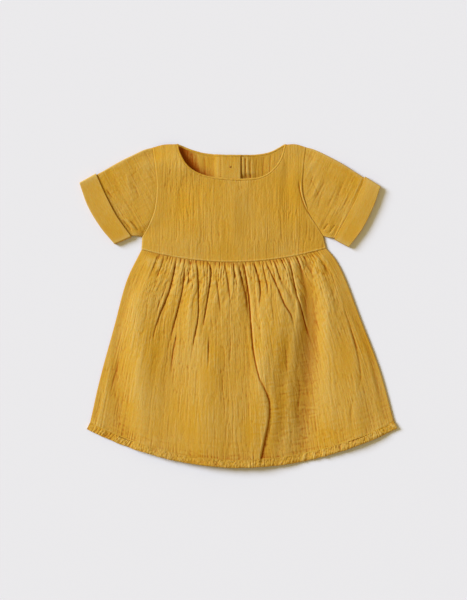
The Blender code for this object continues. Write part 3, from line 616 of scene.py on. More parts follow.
def roll(distance, width):
    """0 at an edge and 1 from width inwards, as a quarter circle."""
    share = np.clip(distance / width, 0.0, 1.0)
    return np.sqrt(1.0 - (1.0 - share) ** 2)


def droop(distance, width):
    """1 at an edge and 0 from width inwards, as a quarter circle."""
    return 1.0 - roll(distance, width)


def smooth_maximum(first, second, blend):
    """The larger of two heights, with their meeting rounded over blend."""
    middle, half = (first + second) / 2, (first - second) / 2
    return middle + np.sqrt(half**2 + (blend / 2) ** 2)


def blurred(height, radius):
    """The mean height within radius points each way."""
    size = 2 * radius + 1
    for _ in range(2):
        padded = np.pad(height.T, ((0, 0), (radius + 1, radius)), mode="edge")
        sums = np.cumsum(padded, axis=1)
        height = (sums[:, size:] - sums[:, :-size]) / size
    return height


def painted_relief_shade(top):
    """Painted shade and highlight from the relief: 0 on a crest, about a third on level cloth and 1 in a
    deep crease.
    """
    near, round_it, broad = (blurred(top, radius) - top for radius in (2, 9, 28))
    return np.clip(LEVEL_SHADE + near + 0.2 * round_it + 0.07 * broad, 0.0, 1.0)


# ======== mesh builders
def new_object(name, points, faces, finish, cloth=None, shade=None):
    """A mesh object from millimetres, with cloth coordinates as UVs and an attribute of painted shade."""
    mesh = bpy.data.meshes.new(name)
    mesh.from_pydata((np.asarray(points) * MM).tolist(), [], faces)
    shape = bmesh.new()
    shape.from_mesh(mesh)
    bmesh.ops.recalc_face_normals(shape, faces=shape.faces)
    shape.to_mesh(mesh)
    shape.free()
    mesh.shade_smooth()
    mesh.set_sharp_from_angle(angle=math.radians(SHARP_ANGLE))
    corner = np.zeros(len(mesh.loops), np.int32)
    mesh.loops.foreach_get("vertex_index", corner)
    if cloth is not None:
        layer = mesh.uv_layers.new(name="cloth")
        layer.data.foreach_set("uv", (cloth.reshape(-1, 2)[corner] / 100.0).ravel().astype(np.float32))
    values = np.full(len(mesh.vertices), LEVEL_SHADE) if shade is None else shade.ravel()
    attribute = mesh.attributes.new("painted_relief_shade", "FLOAT", "POINT")
    attribute.data.foreach_set("value", values.astype(np.float32))
    mesh.materials.append(finish)
    made = bpy.data.objects.new(name, mesh)
    bpy.context.scene.collection.objects.link(made)
    return made


def block_lowest(height, step):
    """The lowest height round every step-th point, so that a coarse face stays below a fine one."""
    padded = np.pad(height, step, mode="edge")
    rows, columns = height.shape
    lowest = np.full(((rows - 1) // step + 1, (columns - 1) // step + 1), np.inf)
    for i in range(2 * step + 1):
        for j in range(2 * step + 1):
            lowest = np.minimum(lowest, padded[i : i + rows : step, j : j + columns : step])
    return lowest


def cloth_grid(across, along):
    """Cloth coordinates of a grid, from those of its columns and rows."""
    return np.dstack(np.broadcast_arrays(across, along))


def grid_faces(index):
    """Quads between the neighbours in a grid of point numbers."""
    corners = (index[:-1, :-1], index[1:, :-1], index[1:, 1:], index[:-1, 1:])
    return np.stack(corners, axis=-1).reshape(-1, 4).tolist()


def add_shell(name, plan, top, floor, finish, cloth=None, fine_below=False, extra_painted_shade=0.0):
    """A closed sheet of cloth: a fine face, a coarse hidden one, and a rim between them.

    floor is the height that the hidden face may not go below. The fine face is on top, or
    underneath where fine_below is true. extra_painted_shade is painted shade added to the
    shade worked out from its relief.
    underneath where fine_below is true. deeper shades it as if it lay that much deeper.
    """
    step = INNER_STEP
    sign = -1.0 if fine_below else 1.0
    hidden = block_lowest(sign * top, step) - HIDDEN_DEPTH
    if not fine_below:
        hidden = np.maximum(hidden, floor[::step, ::step])
    hidden = sign * hidden
    rim = top[::step, ::step] - sign * RIM_DEPTH
    hidden[[0, -1]], hidden[:, [0, -1]] = rim[[0, -1]], rim[:, [0, -1]]
    fine = np.dstack([plan, top]).reshape(-1, 3)
    coarse = np.dstack([plan[::step, ::step], hidden]).reshape(-1, 3)

    outer = np.arange(top.size).reshape(top.shape)
    inner = top.size + np.arange(hidden.size).reshape(hidden.shape)
    faces = grid_faces(outer) + grid_faces(inner.T)
    for side in (np.s_[0, :], np.s_[-1, :], np.s_[:, 0], np.s_[:, -1]):
        fine_line, coarse_line = outer[side].tolist(), inner[side].tolist()
        for k in range(len(coarse_line) - 1):
            part = fine_line[k * step : (k + 1) * step + 1]
            faces.append((*part, coarse_line[k + 1], coarse_line[k]))

    cloth = plan if cloth is None else cloth
    cloth = np.concatenate([cloth.reshape(-1, 2), cloth[::step, ::step].reshape(-1, 2)])
    shade = np.clip(painted_relief_shade(sign * top) + extra_painted_shade, 0.0, 1.0)
    shade = np.concatenate([shade.ravel(), shade[::step, ::step].ravel()])
    return new_object(name, np.vstack([fine, coarse]), faces, finish, cloth, shade)


def add_loft(name, loops, finish, closed=False, cloth=None, shade=None):
    """A body through matching loops of points. It ends in two caps, or closes on itself."""
    loops = np.asarray(loops)
    count, size = loops.shape[:2]
    index = np.arange(count * size).reshape(count, size)
    ends = [] if closed else [index[0].tolist(), index[-1].tolist()]
    index = np.hstack([index, index[:, :1]])
    if closed:
        index = np.vstack([index, index[:1]])
    return new_object(name, loops.reshape(-1, 3), grid_faces(index.T) + ends, finish, cloth, shade)


def stand_in(piece, nodes):
    """The piece rides on the dress and takes the place of the frame's nodes."""
    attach(piece, "root")
    if nodes:
        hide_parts(*nodes)
    return piece


# ======== materials
class Paint:
    """A material, with calls that make a shader node and wire its inputs."""

    def __init__(self, name):
        self.material = bpy.data.materials.new(name)
        self.material.use_nodes = True
        self.tree = self.material.node_tree
        self.shader = self.tree.nodes["Principled BSDF"]

    def feed(self, node, inputs):
        """Each input takes a plain value, or the output of another node."""
        for name, value in inputs.items():
            if isinstance(value, bpy.types.NodeSocket):
                self.tree.links.new(value, node.inputs[name])
            else:
                node.inputs[name].default_value = value

    def node(self, kind, output, inputs=None, **settings):
        made = self.tree.nodes.new(kind)
        for name, value in settings.items():
            setattr(made, name, value)
        self.feed(made, inputs or {})
        return made.outputs[output]

    def mix(self, factor, first, second):
        inputs = {0: factor, 6: first, 7: second}
        return self.node("ShaderNodeMix", 2, inputs, data_type="RGBA")

    def ramp(self, value, low, high):
        """The value stretched so that low becomes 0 and high becomes 1."""
        inputs = {"Value": value, "From Min": low, "From Max": high}
        return self.node("ShaderNodeMapRange", "Result", inputs)

    def noise(self, place, scale, detail):
        inputs = {"Vector": place, "Scale": scale, "Detail": detail}
        return self.node("ShaderNodeTexNoise", "Fac", inputs)

    def cloth_noise(self, cloth, across, along, detail):
        """Noise with its own scale across and along the cloth, per 100 mm."""
        inputs = {"Vector": cloth, "Scale": (across, along, 1.0)}
        return self.noise(self.node("ShaderNodeMapping", "Vector", inputs), 1.0, detail)

    def bump(self, height, strength, distance, under=None):
        """Relief too fine for the mesh, on top of the coarser relief under it."""
        inputs = {"Height": height, "Strength": strength, "Distance": distance}
        if under is not None:
            inputs["Normal"] = under
        return self.node("ShaderNodeBump", "Normal", inputs)


def weave_height(paint, cloth):
    """Plain weave: two sets of threads, about 8 to a centimetre."""
    inputs = {"Vector": cloth, "Scale": 26.0, "Distortion": 1.2, "Detail": 1.0}
    warp, weft = (
        paint.node("ShaderNodeTexWave", "Fac", inputs, bands_direction=direction)
        for direction in ("X", "Y")
    )
    return paint.node("ShaderNodeMath", 0, {0: warp, 1: weft}, operation="MULTIPLY")


def gauze_material():
    paint = Paint("double_gauze")
    cloth = paint.node("ShaderNodeUVMap", "UV", uv_map="cloth")
    crease = paint.node("ShaderNodeAttribute", "Fac", attribute_name="painted_relief_shade")
    tone = paint.ramp(paint.cloth_noise(cloth, 1.6, 1.1, 3.0), 0.3, 0.7)
    slub = paint.ramp(paint.cloth_noise(cloth, 150.0, 9.0, 3.0), 0.25, 0.75)
    fleck = paint.ramp(paint.cloth_noise(cloth, 60.0, 14.0, 4.0), 0.55, 0.85)
    base = paint.mix(tone, GAUZE, PALE_GAUZE_AND_PAINTED_HIGHLIGHT)
    base = paint.mix(slub, base, GAUZE)
    base = paint.mix(fleck, base, paint.mix(0.22, base, DARK_GAUZE_AND_PAINTED_SHADE))
    # painted shade and highlight: creases are mixed towards the dark colour, crests towards the pale one
    base = paint.mix(paint.ramp(crease, 0.40, 1.0), base, DARK_GAUZE_AND_PAINTED_SHADE)
    base = paint.mix(paint.ramp(crease, 0.30, -0.15), base, PALE_GAUZE_AND_PAINTED_HIGHLIGHT)
    crepe = paint.bump(paint.cloth_noise(cloth, 70.0, 16.0, 4.0), 0.55, 0.0005)
    weave = paint.bump(weave_height(paint, cloth), 0.5, 0.0001, crepe)
    look = {
        "Base Color": base,
        "Normal": weave,
        "Roughness": 0.92,
        "Subsurface Weight": 0.15,
        "Subsurface Radius": (1.2, 0.45, 0.10),
        "Subsurface Scale": 0.001,
        "Specular IOR Level": 0.15,
        "Sheen Weight": 0.05,
        "Sheen Roughness": 0.45,
        "Sheen Tint": (0.95, 0.80, 0.45, 1.0),
    }
    paint.feed(paint.shader, look)
    return paint.material


def thread_material():
    paint = Paint("sewing_thread")
    twist = paint.noise(paint.node("ShaderNodeTexCoord", "Object"), 2500.0, 2.0)
    look = {"Base Color": paint.mix(twist, THREAD, DARK_GAUZE_AND_PAINTED_SHADE), "Roughness": 0.6}
    paint.feed(paint.shader, look)
    return paint.material


def button_material():
    paint = Paint("button_plastic")
    cloud = paint.noise(paint.node("ShaderNodeTexCoord", "Object"), 260.0, 3.0)
    look = {
        "Base Color": paint.mix(cloud, BUTTON, PALE_GAUZE_AND_PAINTED_HIGHLIGHT),
        "Normal": paint.bump(cloud, 0.15, 0.0001),
        "Roughness": 0.35,
    }
    paint.feed(paint.shader, look)
    return paint.material


# ======== edges of the pieces
def neck_edge(points):
    return shifted(smooth_edge(points), -NECK_CUT)


def armhole_edge(side, outward):
    distance = SEAM_HALF * (outward if side == "left" else -outward)
    return shifted(smooth_edge(ARMHOLE[side]), distance)


def waist_edge(offset):
    return shifted(bow(WAIST, *WAIST_ENDS), offset)


def bodice_waist():
    return waist_edge(SEAM_HALF)


def bodice_side(side):
    armhole = armhole_edge(side, -1.0)
    waist = bodice_waist()(0.0 if side == "right" else 1.0)
    return joined((ARMHOLE_SHARE, armhole), (1.0, smooth_edge((armhole(1.0), waist))))


def shoulder_edge(side, neck_end):
    return smooth_edge((armhole_edge(side, -1.0)(0.0), SHOULDER_MIDDLE[side], neck_end))


def hem_line():
    return bow(HEM, *HEM_ENDS)


def skirt_plan():
    top = waist_edge(-SEAM_HALF)
    bottom = shifted(hem_line(), HEM_BAND)
    right = smooth_edge((top(0.0), *SKIRT_SIDE["right"], bottom(0.0)))
    left = smooth_edge((top(1.0), *SKIRT_SIDE["left"], bottom(1.0)))
    return patch(top, bottom, right, left)


# ======== front bodice and binding
def front_bodice_plan():
    neck = neck_edge(FRONT_NECK)
    start, end = FRONT_NECK_SHARES
    top = joined(
        (start, shoulder_edge("right", neck(0.0))),
        (end, neck),
        (1.0, reverse(shoulder_edge("left", neck(1.0)))),
    )
    return patch(top, bodice_waist(), bodice_side("right"), bodice_side("left"))


def neck_lift(plan):
    """The front neck edge stands off the back, most of all at the wearer's right."""
    x, y = plan[..., 0] - NECK_LIFT_AT[0], plan[..., 1] - NECK_LIFT_AT[1]
    return NECK_LIFT * bell(x, 32.0) * bell(y, 25.0)


def armhole_swell(side, part, distance):
    """How the cloth stands up over the armhole's seam allowances."""
    return ARMHOLE_SWELL[side] * bell(distance, ARMHOLE_SWELL_WIDTH[part])


def add_front_bodice(finish, binding):
    u = spaced((FRONT_NECK_SHARES[0], 60), (FRONT_NECK_SHARES[1], 264), (1.0, 52))[None, :]
    v = spaced((ARMHOLE_SHARE, 200), (1.0, 28))[:, None]
    plan = front_bodice_plan()(u, v)
    x, y = plan[..., 0], plan[..., 1]
    left, right, top_edge, waist = edge_distance(plan)
    side = np.minimum(left, right)
    above_underarm = smoothstep(y, 88.0, 95.0)

    level = front_bodice_low(u, v, plan) + 1.2 * (crown(u, 6.0) - crown(u, 1.8))
    body = smoothstep(side, 1.0, 14.0) * (0.55 + 0.45 * smoothstep(waist, 0.0, 25.0))
    fine = (0.35 + 0.65 * body) * crinkle(x, y, 11)
    pressed = np.exp(-waist / 9.0) * smoothstep(np.abs(x), 45.0, 90.0)
    fine = fine + pressed * crumple(x, y, 17)
    swell = armhole_swell("right", "bodice", left) + armhole_swell("left", "bodice", right)
    swell = swell * plateau(y, 92.0, 112.0, 180.0, 200.0)
    top = level + CLOTH + fold_relief(plan, BODICE_FOLDS) + fine + neck_lift(plan) + swell

    waist_bead = 0.45 * bell(waist - 1.6, 0.9)
    armhole_bead = 0.3 * bell(side - 1.5, 0.9) * above_underarm
    turned_in = 0.25 * droop(waist, 0.8) + 0.3 * droop(top_edge, 1.0)
    turned_in = turned_in + (1.1 - 0.9 * above_underarm) * droop(side, EDGE_ROLL)
    top = top + waist_bead + armhole_bead - turned_in
    piece = add_shell("gauze_front_bodice", plan, top, np.full(top.shape, CLOTH), finish)
    stand_in(piece, ["front_bodice"])


def binding_loops(path, low, seed):
    """Rounded sections of the neck binding, each resting at its low height."""
    turns = np.linspace(0.0, 2 * math.pi, BINDING_SIDES, endpoint=False)
    ahead = np.gradient(path, axis=0)
    ahead /= np.linalg.norm(ahead, axis=1, keepdims=True)
    sideways = np.stack([-ahead[:, 1], ahead[:, 0]], axis=-1)
    run = np.arange(len(path))
    swell = 1.0 + 0.10 * noise(run / 3.0, 0 * run, seed) + 0.05 * np.sin(run * 2.4)
    across = (BINDING_WIDTH / 2 + 0.1) * np.cos(turns)[None, :] * swell[:, None]
    up = BINDING_THICK / 2 * (1.0 + np.sin(turns))[None, :] * swell[:, None]
    place = path[:, None, :] + sideways[:, None, :] * across[..., None]
    return np.dstack([place, low[:, None] + up])


def add_binding(name, path, low, seed, finish, nodes):
    loops = binding_loops(path, low, seed)
    run = np.concatenate([[0.0], np.cumsum(np.linalg.norm(np.diff(path, axis=0), axis=1))])
    ring = np.linspace(0.0, 7.0, loops.shape[1])
    piece = add_loft(name, loops, finish, cloth=cloth_grid(ring[None, :], run[:, None]))
    return stand_in(piece, nodes)


def add_front_binding(finish):
    place, u = np.linspace(0.0, 1.0, 241), np.linspace(*FRONT_NECK_SHARES, 241)
    cut = front_bodice_plan()(u, 0.0)
    low = front_bodice_low(u, 0.0, cut) + 0.1 + neck_lift(cut)
    path = shifted(neck_edge(FRONT_NECK), BINDING_WIDTH / 2)(place)
    return add_binding("gauze_neck_binding_front", path, low, 31, finish, ["neck_binding_front"])


# ======== back bodice, facing
def add_back_binding(name, neck, start, end, lap, seed, finish):
    path = shifted(neck, BINDING_WIDTH / 2)(np.linspace(start, end, 121))
    low = ridge_height(path) + lap * lap_share(path)
    return add_binding(f"gauze_{name}", path, low, seed, finish, [name])


def add_back_bodice(finish):
    neck, waist = neck_edge(BACK_NECK), bodice_waist()
    v = spaced((ARMHOLE_SHARE, 120), (1.0, 16))[:, None]

    lap = share_at_x(neck, LAP_RIGHT)
    start = BACK_NECK_SHARES["right"]
    top = joined((start, shoulder_edge("right", neck(0.0))), (1.0, stretch_of(neck, 0.0, lap)))
    bottom = stretch_of(waist, 0.0, share_at_x(waist, LAP_RIGHT))
    centre = smooth_edge((top(1.0), bottom(1.0)))
    plan_at = patch(top, bottom, bodice_side("right"), centre)
    plan = plan_at(spaced((start, 32), (1.0, 96))[None, :], v)
    low = ridge_height(plan) + FRONT_REST * lap_share(plan)
    on_lap = BINDING_THICK + REST_GAP
    binding = add_back_binding("neck_binding_back_right", neck, 0.0, lap, on_lap, 32, finish)
    add_back_piece("back_bodice_right", plan, low, 21, finish)

    lap = share_at_x(neck, LAP_LEFT)
    end = BACK_NECK_SHARES["left"]
    shoulder = reverse(shoulder_edge("left", neck(1.0)))
    top = joined((end, stretch_of(neck, lap, 1.0)), (1.0, shoulder))
    bottom = stretch_of(waist, share_at_x(waist, LAP_LEFT), 1.0)
    centre = smooth_edge((top(0.0), bottom(0.0)))
    plan_at = patch(top, bottom, centre, bodice_side("left"))
    plan = plan_at(spaced((end, 100), (1.0, 32))[None, :], v)
    low = ridge_height(plan)
    binding = add_back_binding("neck_binding_back_left", neck, lap, 1.0, 0.0, 33, finish)
    add_back_piece("back_bodice_left", plan, low, 22, finish)

    add_facing(neck, waist, finish)


def painted_neck_shadow(plan):
    """Painted shadow of the front's raised neck edge on the back, inside the dress, on the wearer's right of
    the neck and widest towards that shoulder.
    """
    edge = neck_edge(FRONT_NECK)(np.linspace(0.0, 0.6, 60))
    gap = np.full(plan.shape[:-1], np.inf)
    for point in edge:
        gap = np.minimum(gap, np.linalg.norm(plan - point, axis=-1))
    reach = 9.5 + 9.0 * (1.0 - smoothstep(plan[..., 0], -68.0, -44.0))
    return np.exp(-((gap / reach) ** 1.5)) * (1.0 - smoothstep(plan[..., 0], -62.0, -18.0))


def add_back_piece(name, plan, low, seed, finish):
    """A back panel, seen from its inside through the neck. Its pleats have more depth than the front's."""
    x, y = plan[..., 0], plan[..., 1]
    edge = np.minimum.reduce(edge_distance(plan))
    in_neck = smoothstep(y, 166.0, 174.0)
    relief = crinkle(x, y, seed) + fold_relief(plan, BACK_FOLDS)
    relief = np.minimum(relief, 0.12 + 0.8 * in_neck) * smoothstep(edge, 0.0, 4.0)
    past_lap = x - LAP_RIGHT
    pleated = PLEATED_RISE * in_neck * plateau(past_lap, 0.0, 1.2, 6.0, 30.0)
    top = low + CLOTH - 0.1 + relief + pleated
    top = smooth_maximum(top, low + 0.35, 0.2)
    # painted shadow under the front's raised neck edge, and painted shade in the gap beside the lap
    extra_painted_shade = painted_neck_shadow(plan) + 0.7 * bell(past_lap, 1.6) * in_neck
    piece = add_shell(f"gauze_{name}", plan, top, low, finish, extra_painted_shade=extra_painted_shade)
    stand_in(piece, [name])


def add_facing(neck, waist, finish):
    ends = FACING_LEFT, LAP_RIGHT
    top, bottom = (
        stretch_of(edge, *(share_at_x(edge, x) for x in ends)) for edge in (neck, waist)
    )
    sides = (smooth_edge((top(share), bottom(share))) for share in (0.0, 1.0))
    plan = patch(top, bottom, *sides)(shares(41)[None, :], shares(181)[:, None])
    x, y = plan[..., 0], plan[..., 1]
    left, right, _, _ = edge_distance(plan)
    low = ridge_height(plan) + FRONT_REST + CLOTH
    stitched_down = 0.2 * bell(left - FACING_STITCH, 0.5) + 0.7 * (1.0 - smoothstep(left, 0.0, 5.0))
    surface = low + 1.1 + 0.35 * crinkle(x + 200, y, 23) - stitched_down - 1.2 * droop(right, 1.4)
    # painted shade along the facing's right edge, in the gap where it steps down to the back
    shade = 0.6 * bell(right, 0.8)
    piece = add_shell("gauze_placket_facing", plan, surface, low, finish, extra_painted_shade=shade)
    stand_in(piece, ["placket_facing"])


# ======== skirt
def skirt_cloth(u, v):
    return cloth_grid(u * SKIRT_CUT[0], v * SKIRT_CUT[1])


def gather_places():
    """Places in gathers and their shares across the skirt, spaced as the frame's gathers are."""
    place = np.linspace(0.0, GATHERS, 8 * GATHERS + 1)
    uneven = 0.16 * np.sin(2.1 * place + 0.4) + 0.12 * np.sin(0.83 * place)
    ends = np.sqrt(np.clip(np.sin(math.pi * place / GATHERS), 0.0, 1.0))
    return place, GATHERS_FROM + (GATHERS_TO - GATHERS_FROM) * (place + uneven * ends) / GATHERS


def gather_relief(u, v):
    """Rounded crests and sharp troughs at the seam, which widen and die out down the skirt."""
    place, share = gather_places()
    at = np.interp(u, share, place)
    wander = 0.5 * noise(at / 4.0, v * 5.0, 45) * smoothstep(v, 0.0, 0.1)
    at = at + 0.45 * noise(at / 1.6, v * 9.0, 41) + wander
    index = np.clip(np.floor(at), 0, GATHERS - 1)
    crest = np.clip(np.sin(math.pi * (at - index)), 0.0, 1.0) ** 0.4
    chance = 0.5 + 0.5 * np.sin(7.7 * index + 0.6)
    reach = 0.06 + 0.09 * chance + 0.16 * chance**8
    size = 0.35 + 0.85 * np.abs(np.sin(2.3 * index + 1.0))
    inside = plateau(u, GATHERS_FROM - 0.01, GATHERS_FROM + 0.02, GATHERS_TO - 0.02, GATHERS_TO + 0.01)
    fading = (1.0 - smoothstep(v, 0.15 * reach, reach)) ** 1.5
    drift = noise(u * 46 + 0.9 * noise(u * 9, v * 8, 43), v * 4.4, 44)
    pebble = noise(u * 105 + v * 25, v * 52, 46)
    slack = np.exp(-v / 0.3) * smoothstep(v, 0.0, 0.06)
    soft = 0.8 * drift - 0.9 * (1.0 - np.abs(drift)) ** 7 + 0.5 * pebble
    return inside * (table_value(GATHER_HEIGHT, v) * size * fading * (crest - 0.85) + soft * slack)


def pucker(u):
    """The hem's puckers: 1 on a crest and 0 in the sharp troughs between."""
    at = HEM_PUCKERS * u + 1.5 * noise(u * 30, 0.0, 63) + 0.5 * noise(u * 80, 0.0, 64)
    return np.abs(np.sin(math.pi * at)) ** 0.6 * (0.8 + 0.35 * noise(u * 55, 0.0, 65))


def add_front_skirt(finish):
    u, v = shares(469)[None, :], shares(181)[:, None]
    plan = skirt_plan()(u, v)
    x, y = plan[..., 0], plan[..., 1]
    left, right, waist, hem = edge_distance(plan)
    side = np.minimum(left, right)
    back = back_bulk(u, v)
    base = FRONT_REST + back + crown(u, 2.6) * table_value(SKIRT_LOFT, v)
    folds = fold_relief(plan, SKIRT_FOLDS) + level_relief(plan) * smoothstep(waist, 0.0, 18.0)
    folds = folds * smoothstep(side, 0.0, 14.0)

    cloth = skirt_cloth(u, v)
    across, along = cloth[..., 0], cloth[..., 1]
    pressed = bell(x - 65, 42.0) * bell(y + 120, 60.0) + 0.8 * np.exp(-hem / 22.0)
    fine = crinkle(across, along, 51) * smoothstep(side, 0.5, 6.0) * (1.0 - 0.35 * pressed)
    fine = (0.75 + 0.35 * v) * (fine + crumple(across, along, 57) * pressed)
    near_hem = 0.8 * (pucker(u) - 0.5) * np.exp(-hem / 7.0)
    flush = smoothstep(hem, 0.0, 1.6)

    at_hem = (HEM_TOP - base - CLOTH) * np.exp(-hem / 8.0) * smoothstep(side, 0.0, 10.0)
    top = base + CLOTH + at_hem + gather_relief(u, v) + folds + flush * (fine + near_hem)
    top = top - 0.1 * droop(waist, 1.0) - 0.5 * droop(side, EDGE_ROLL)
    floor = back + CLOTH + 0.1
    top = smooth_maximum(top, floor + 0.5, 0.5)
    piece = add_shell("gauze_front_skirt", plan, top, floor, finish, cloth)
    stand_in(piece, ["front_skirt"])


def add_back_skirt(finish):
    """The skirt's back, which lies flat: its gathers and crinkle dent its underside."""
    u, v = shares(301)[None, :], shares(121)[:, None]
    plan = skirt_plan()(u, v)
    left, right, waist, _ = edge_distance(plan)
    side = np.minimum(left, right)
    cloth = skirt_cloth(u, v)
    dents = -0.225 * gather_relief(u, v) * crown(u, 8.0)
    fine = 0.5 * crinkle(cloth[..., 0], cloth[..., 1], 52)
    under = np.clip(dents + fine + 0.05, 0.0, 0.75) * smoothstep(side, 0.0, 5.0)
    under = under + 0.5 * droop(np.minimum(side, waist), 2.0)
    piece = add_shell("gauze_back_skirt", plan, under, under, finish, cloth, fine_below=True)
    stand_in(piece, ["back_skirt"])


# ======== hem
def add_band(name, rows, place, finish, shade=None):
    """A hem band through rows of points along the hem. Each row is (distance in, points)."""
    loops = np.array([points for _, points in rows]).transpose(1, 0, 2)
    inward = np.array([distance for distance, _ in rows])
    cloth = cloth_grid(place[:, None] * HEM_CUT, inward[None, :])
    piece = add_loft(f"gauze_{name}", loops, finish, cloth=cloth, shade=shade)
    return stand_in(piece, [name])


def add_front_hem(finish):
    hem = hem_line()
    place = np.linspace(0.0, 1.0, 12 * HEM_PUCKERS + 1)
    jitter = noise(place * 60, 0.0, 61)
    wave = 0.35 * (pucker(place) - 0.6) + 0.5 * jitter
    seam = bell(place - 0.115, 0.03) + bell(place - 0.885, 0.035)
    inside_ends = smoothstep(np.minimum(place, 1.0 - place) * HEM_CUT, 0.0, 14.0)
    rows, shade = [], []
    for inward, height, part in HEM_ROWS:
        line = shifted(hem, inward)(place)
        if inward < 2.0 and height > HEM_LOW:
            line = line - (shifted(hem, inward + 1.0)(place) - line) * wave[:, None]
        lean = 0.0030 * (inward - HEM_BAND / 2) * noise(place * 9, 0.0, 68)
        slanted = pucker(np.clip(place + lean, 0.0, 1.0))
        rough = noise(place * 210, inward / 1.7, 67)
        relief = (0.85 * (slanted - 0.5) + 0.3 * jitter + 0.5 * rough) * part
        if inward == HEM_SEAM:
            relief = relief - 1.2 * seam
        rows.append((inward, np.column_stack([line, height + relief + level_relief(line) * inside_ends])))
        # painted shade in the puckers' troughs and the seam's dents, painted highlight on the puckers'
        # crests
        shade.append(np.clip(LEVEL_SHADE - 0.55 * relief, 0.0, 1.0))
    piece = add_band("hem_band_front", rows, place, finish, np.array(shade).T)


def add_back_hem(finish):
    place = np.linspace(0.0, 1.0, 4 * HEM_PUCKERS + 1)
    dent = 0.35 * (1.0 - pucker(place))
    rows = [
        (inward, np.column_stack([shifted(hem_line(), inward)(place), height + dent * part]))
        for inward, height, part in HEM_BACK_ROWS
    ]
    piece = add_band("hem_band_back", rows, place, finish)


# ======== sleeves and cuffs
def ring_distances(line, pitch=0.8):
    """Distances of a flattened tube's points along the line across it, closer at its folds."""
    width = float(np.linalg.norm(line(1.0) - line(0.0)))
    edge = [RING_ROUND * share for share in (0.0, 0.06, 0.2, 0.45, 1.0)]
    steps = int((width - 2 * RING_ROUND) / pitch)
    middle = np.linspace(RING_ROUND, width - RING_ROUND, steps + 1)[1:-1]
    return np.array(edge + list(middle) + [width - place for place in reversed(edge)])


def flat_ring(line, inset, low, high, distance, relief=None):
    """A closed loop round a flattened tube: out along the line on top, and back below."""
    ends = line(np.array([0.0, 1.0]))
    width = np.linalg.norm(ends[1] - ends[0])
    scaled = distance * width / distance[-1]
    near = np.minimum(scaled, width - scaled)
    plan = line((inset + scaled * (width - 2 * inset) / width) / width)
    middle, half = (low + high) / 2, (high - low) / 2 * roll(near, RING_ROUND)
    top = 0.0 if relief is None else relief(plan) * smoothstep(near, 0.0, 4.0)
    upper = np.column_stack([plan, middle + half + top])
    lower = np.column_stack([plan, middle - half])
    return np.vstack([upper, lower[-2:0:-1]])


def sleeve_patches(side):
    """Plan of the sleeve as far as the cuff's open edge, and plan of the cuff."""
    armhole = armhole_edge(side, 1.0)
    edge, end = smooth_edge(CUFF_EDGE[side]), smooth_edge(SLEEVE_END[side])
    fold = smooth_edge((armhole(0.0), *SLEEVE_FOLD[side], edge(0.0)))
    underarm = smooth_edge((armhole(1.0), UNDERARM_MIDDLE[side], edge(1.0)))
    upper = patch(fold, underarm, armhole, edge)
    fold = smooth_edge((CUFF_EDGE[side][0], SLEEVE_END[side][0]))
    below = smooth_edge((CUFF_EDGE[side][-1], SLEEVE_END[side][-1]))
    return upper, patch(fold, below, edge, end)


def line_across(plan_at, station):
    return lambda share: plan_at(station, share)


def ring_cloth(loops, along):
    """Cloth coordinates of a flattened tube: round it, and along it."""
    size = loops.shape[1]
    round_it = np.abs(np.linspace(-1.0, 1.0, size)) * size * 0.55
    return cloth_grid(along[:, None], round_it[None, :])


def sleeve_grain(side):
    """Cloth coordinates on a sleeve: away from the armhole, and down along the cuff."""
    start, end = np.array(CUFF_EDGE[side])[[0, -1]]
    down = (end - start) / np.linalg.norm(end - start)
    out = np.array([-down[1], down[0]])
    return lambda plan: ((plan - start) @ out + 200.0, (plan - start) @ down + 60.0)


def sleeve_relief(side, seed):
    """Crinkle that runs parallel to the cuff, and the sleeve's few folds."""
    grain = sleeve_grain(side)

    def at(plan):
        away, run = grain(plan)
        dented = 0.6 * np.clip(noise(away / 9, run / 14, seed + 9) - 0.35, 0.0, 1.0)
        folded = fold_relief(plan[None], SLEEVE_FOLDS[side])[0]
        return 0.95 * crinkle(away, run, seed) + 0.4 * crumple(away, run, seed + 7) - dented + folded

    return at


